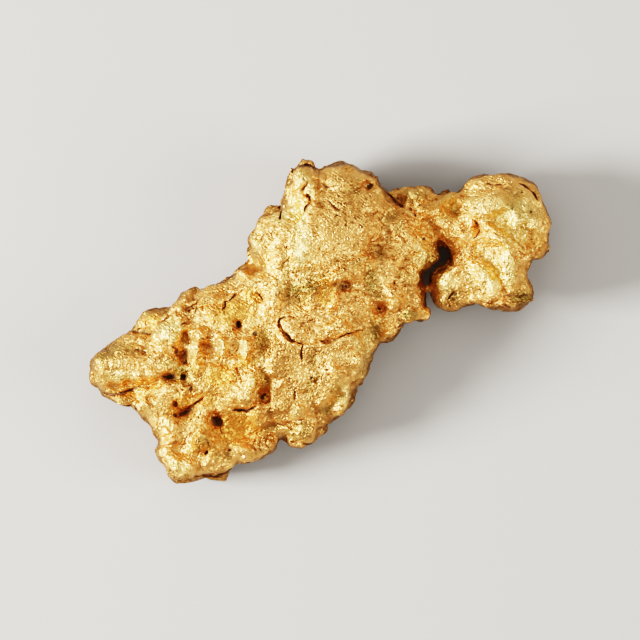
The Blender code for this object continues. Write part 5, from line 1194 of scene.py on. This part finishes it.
# %% How sheltered each point is
HOLLOW_ROUNDS = 60
HOLLOW_DEPTH = 0.16         # lying this far below the surface around it counts as fully sheltered, in mm


def neighbour_average(mesh, position, rounds):
    """The positions after averaging each point with its neighbours that many times."""
    ends = np.empty(len(mesh.edges) * 2, dtype=np.int32)
    mesh.edges.foreach_get("vertices", ends)
    first, second = ends[0::2], ends[1::2]
    count = len(position)
    neighbours = np.bincount(first, minlength=count) + np.bincount(second, minlength=count)
    smooth = position.copy()
    for _ in range(rounds):
        total = np.empty_like(smooth)
        for axis in range(3):
            total[:, axis] = (np.bincount(first, smooth[second, axis], count)
                              + np.bincount(second, smooth[first, axis], count))
        smooth = 0.5 * smooth + 0.5 * total / neighbours[:, None]
    return smooth


print("rounds of averaging:", HOLLOW_ROUNDS)

# %% The share of film and earth at each point
FILM_CORE = 0.35            # a film is full up to this share of its radius
FILM_REACH = 1.5            # and has faded out at this many radii
PIT_EARTH = (0.60, 1.05)    # radii of a pit between which its earth thins out
EARTH_SPILL = 1.2           # earth lies in a crack over this many widths


def film_and_painted_light_share(places, films):
    """How strongly the strongest of the listed places covers each place: films, painted highlights and
    painted shade.
    """
    share = np.zeros(len(places))
    for film in films:
        close = near(places, [(film.x, film.y)], FILM_REACH * max(film.along, film.across))
        away = oval_distance(places[close], film.x, film.y, film.along, film.across, film.turn)
        fade = 1.0 - soft_step(FILM_CORE, FILM_REACH, away)
        share[close] = np.maximum(share[close], film.strength * fade)
    return share


def earth_share(places):
    """How much earth lies in the pits and cracks."""
    earth = np.zeros(len(places))
    for pit in ALL_PITS:
        close = near(places, [(pit.x, pit.y)], PIT_REACH * max(pit.along, pit.across))
        away = pit_distance(places[close], pit)
        earth[close] = np.maximum(earth[close], pit.earth * (1.0 - soft_step(*PIT_EARTH, away)))
    for crack in ALL_CRACKS:
        close = near(places, crack.path, LAP_REACH)
        shape, _, _ = crack_shape(places[close], crack, EARTH_SPILL)
        earth[close] = np.maximum(earth[close], crack.earth * shape)
    return earth


print("pits and cracks that may hold earth:", len(ALL_PITS) + len(ALL_CRACKS))

# %% The numbers that the material reads
# burnish carries painted highlights, skin and olive carry painted shade, besides their films
FILMS_AND_PAINTED_LIGHT = {"burnish": BURNISH_AND_PAINTED_HIGHLIGHT_PLACES, "skin": MATT_SKIN_AND_PAINTED_SHADE_PLACES, "amber": AMBER, "rust": RUST, "olive": OLIVE_FILM_AND_PAINTED_SHADE}
FILM_SLOPE = (-0.3, 0.2)    # height of the normal over which the films of the top set in
FLANK_SLOPE = (0.10, 0.60)  # height of the normal where a flank starts and where the top begins
SIDE_EARTH = 0.8            # share of the earth that is left in the pits of the sides
# the cleft's walls, whose flanks get no painted shade
CLEFT = FilmAndPaintedLight(9.2, 4.0, 1.3, 2.6, 10, 0.9)


def store_films_and_painted_light(mesh):
    """Stores the share of each film, of painted highlight and shade and of painted bounce light on the mesh
    and gives back how sheltered its points are.
    """
    position = points_of(mesh)
    places = places_of(position)
    around = neighbour_average(mesh, position, HOLLOW_ROUNDS)
    calm = mesh.copy()
    move_points(calm, around)
    slope = points_of(calm, "normal")
    bpy.data.meshes.remove(calm)
    looks_up = soft_step(*FILM_SLOPE, slope[:, 2])
    sheltered = np.einsum("ij,ij->i", around - position, slope) / HOLLOW_DEPTH
    # painted bounce light: the more sheltered a point, the deeper orange the material paints it
    set_attribute(mesh, "hollow", np.clip(sheltered, 0.0, 1.0))
    _, earth_below = side_pits(position, np.random.default_rng(SIDE_SEED))
    earth = np.maximum(earth_share(places) * looks_up, SIDE_EARTH * earth_below * (1.0 - looks_up))
    set_attribute(mesh, "earth", earth)
    for name, films in FILMS_AND_PAINTED_LIGHT.items():
        set_attribute(mesh, name, film_and_painted_light_share(places, films) * looks_up)
    # painted shade: the steeper the surface, the darker brown the material paints it, except in the cleft
    flank = 1.0 - soft_step(*FLANK_SLOPE, slope[:, 2])
    set_attribute(mesh, "flank", flank * (1.0 - film_and_painted_light_share(places, [CLEFT])))
    return sheltered


sheltered = store_films_and_painted_light(surface)
print("sheltered share:", round(float((sheltered > 0.5).mean()), 3))

# %% [markdown]
# ## The finished piece
# The mesh goes back to metres with its place in its points, as the solid's own mesh has it. It rides on the
# one body there is, stands in for the solid, and wears the native gold made above.

# %% The nugget in its frame
surface.transform(Matrix.Scale(MM, 4))
surface.shade_smooth()
nugget = bpy.data.objects.new("gold_nugget", surface)
bpy.context.scene.collection.objects.link(nugget)
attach(nugget, "root")
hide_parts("nugget")
print("nugget:", len(surface.vertices), "points")

# %% [markdown]
# ## Floor, light and camera
# The nugget lies on a plain pale floor. A small soft lamp stands low on the left, so that faces which lean
# left flash and every crease throws a short shadow. A wide, weaker one overhead opens the shadows, and a weak
# one on the right keeps the far flanks from going black. The camera looks straight down from half a metre,
# far enough that the high middle isn't drawn larger than the rims.
# A polished metal has a wide range between its flashes and its creases. The filmic curve with very high
# contrast lets the flashes roll off to pale gold and still keeps the creases deep. The standard curve would
# clip them to a flat yellow.

# %% Floor
FLOOR_HALF = 1.5            # half the side of the floor, in metres
FLOOR_COLOUR = "#BEBBB5"
FLOOR_ROUGHNESS = 0.9

bpy.ops.mesh.primitive_plane_add(size=2.0 * FLOOR_HALF, location=(0.0, 0.0, 0.0))
floor = bpy.context.object
floor.name = "floor"
floor_paint = bpy.data.materials.new("matt floor")
floor_paint.use_nodes = True
floor_shader = floor_paint.node_tree.nodes["Principled BSDF"]
floor_shader.inputs["Base Color"].default_value = linear(FLOOR_COLOUR)
floor_shader.inputs["Roughness"].default_value = FLOOR_ROUGHNESS
floor.data.materials.append(floor_paint)
print("floor, m:", 2.0 * FLOOR_HALF)

# %% Light
SUBJECT = Vector((0.0, 0.0, 4.0 * MM))      # the lamps aim at the middle of the nugget
ROOM_COLOUR = "#FFE6CC"
ROOM_LIGHT = 0.06           # the room itself is nearly dark


def soft_lamp(name, size, watts, azimuth, elevation, distance):
    """A square lamp aimed at the nugget. Size and distance in metres, angles in degrees, azimuth from +X."""
    lamp = bpy.data.lights.new(name, "AREA")
    lamp.shape = "SQUARE"
    lamp.size = size
    lamp.energy = watts
    turn, lift = math.radians(azimuth), math.radians(elevation)
    direction = Vector((math.cos(turn) * math.cos(lift), math.sin(turn) * math.cos(lift), math.sin(lift)))
    thing = bpy.data.objects.new(name, lamp)
    thing.location = SUBJECT + direction * distance
    thing.rotation_euler = direction.to_track_quat("Z", "Y").to_euler()
    bpy.context.scene.collection.objects.link(thing)


soft_lamp("low lamp on the left", 0.12, 3.8, 186.0, 25.0, 0.40)
soft_lamp("wide lamp overhead", 0.80, 2.15, 125.0, 70.0, 0.60)
soft_lamp("weak lamp on the right", 0.20, 0.85, 350.0, 30.0, 0.40)

world = bpy.data.worlds.new("dim room")
world.use_nodes = True
room = world.node_tree.nodes.get("Background") or add_node(world.node_tree, "ShaderNodeBackground")
room.inputs["Color"].default_value = linear(ROOM_COLOUR)
room.inputs["Strength"].default_value = ROOM_LIGHT
bpy.context.scene.world = world

# %% Camera
CAMERA_HEIGHT = 0.50        # above the rims of the nugget, which are in true scale in the picture
RIM_HEIGHT = 3.8 * MM
FIELD = 51.2 * MM           # width of the picture at the rims
SENSOR = 36.0               # width of the camera's sensor, in mm

camera = bpy.data.cameras.new("camera above")
camera.sensor_width = SENSOR
camera.lens = SENSOR * CAMERA_HEIGHT / FIELD
camera.clip_start = 0.01
camera.clip_end = 10.0
view = bpy.data.objects.new("camera above", camera)
view.location = (DATUM[0] * MM, DATUM[1] * MM, RIM_HEIGHT + CAMERA_HEIGHT)
bpy.context.scene.collection.objects.link(view)
bpy.context.scene.camera = view
bpy.context.scene.view_settings.view_transform = "Filmic"
bpy.context.scene.view_settings.look = "Very High Contrast"
print("lens, mm:", round(camera.lens, 1))
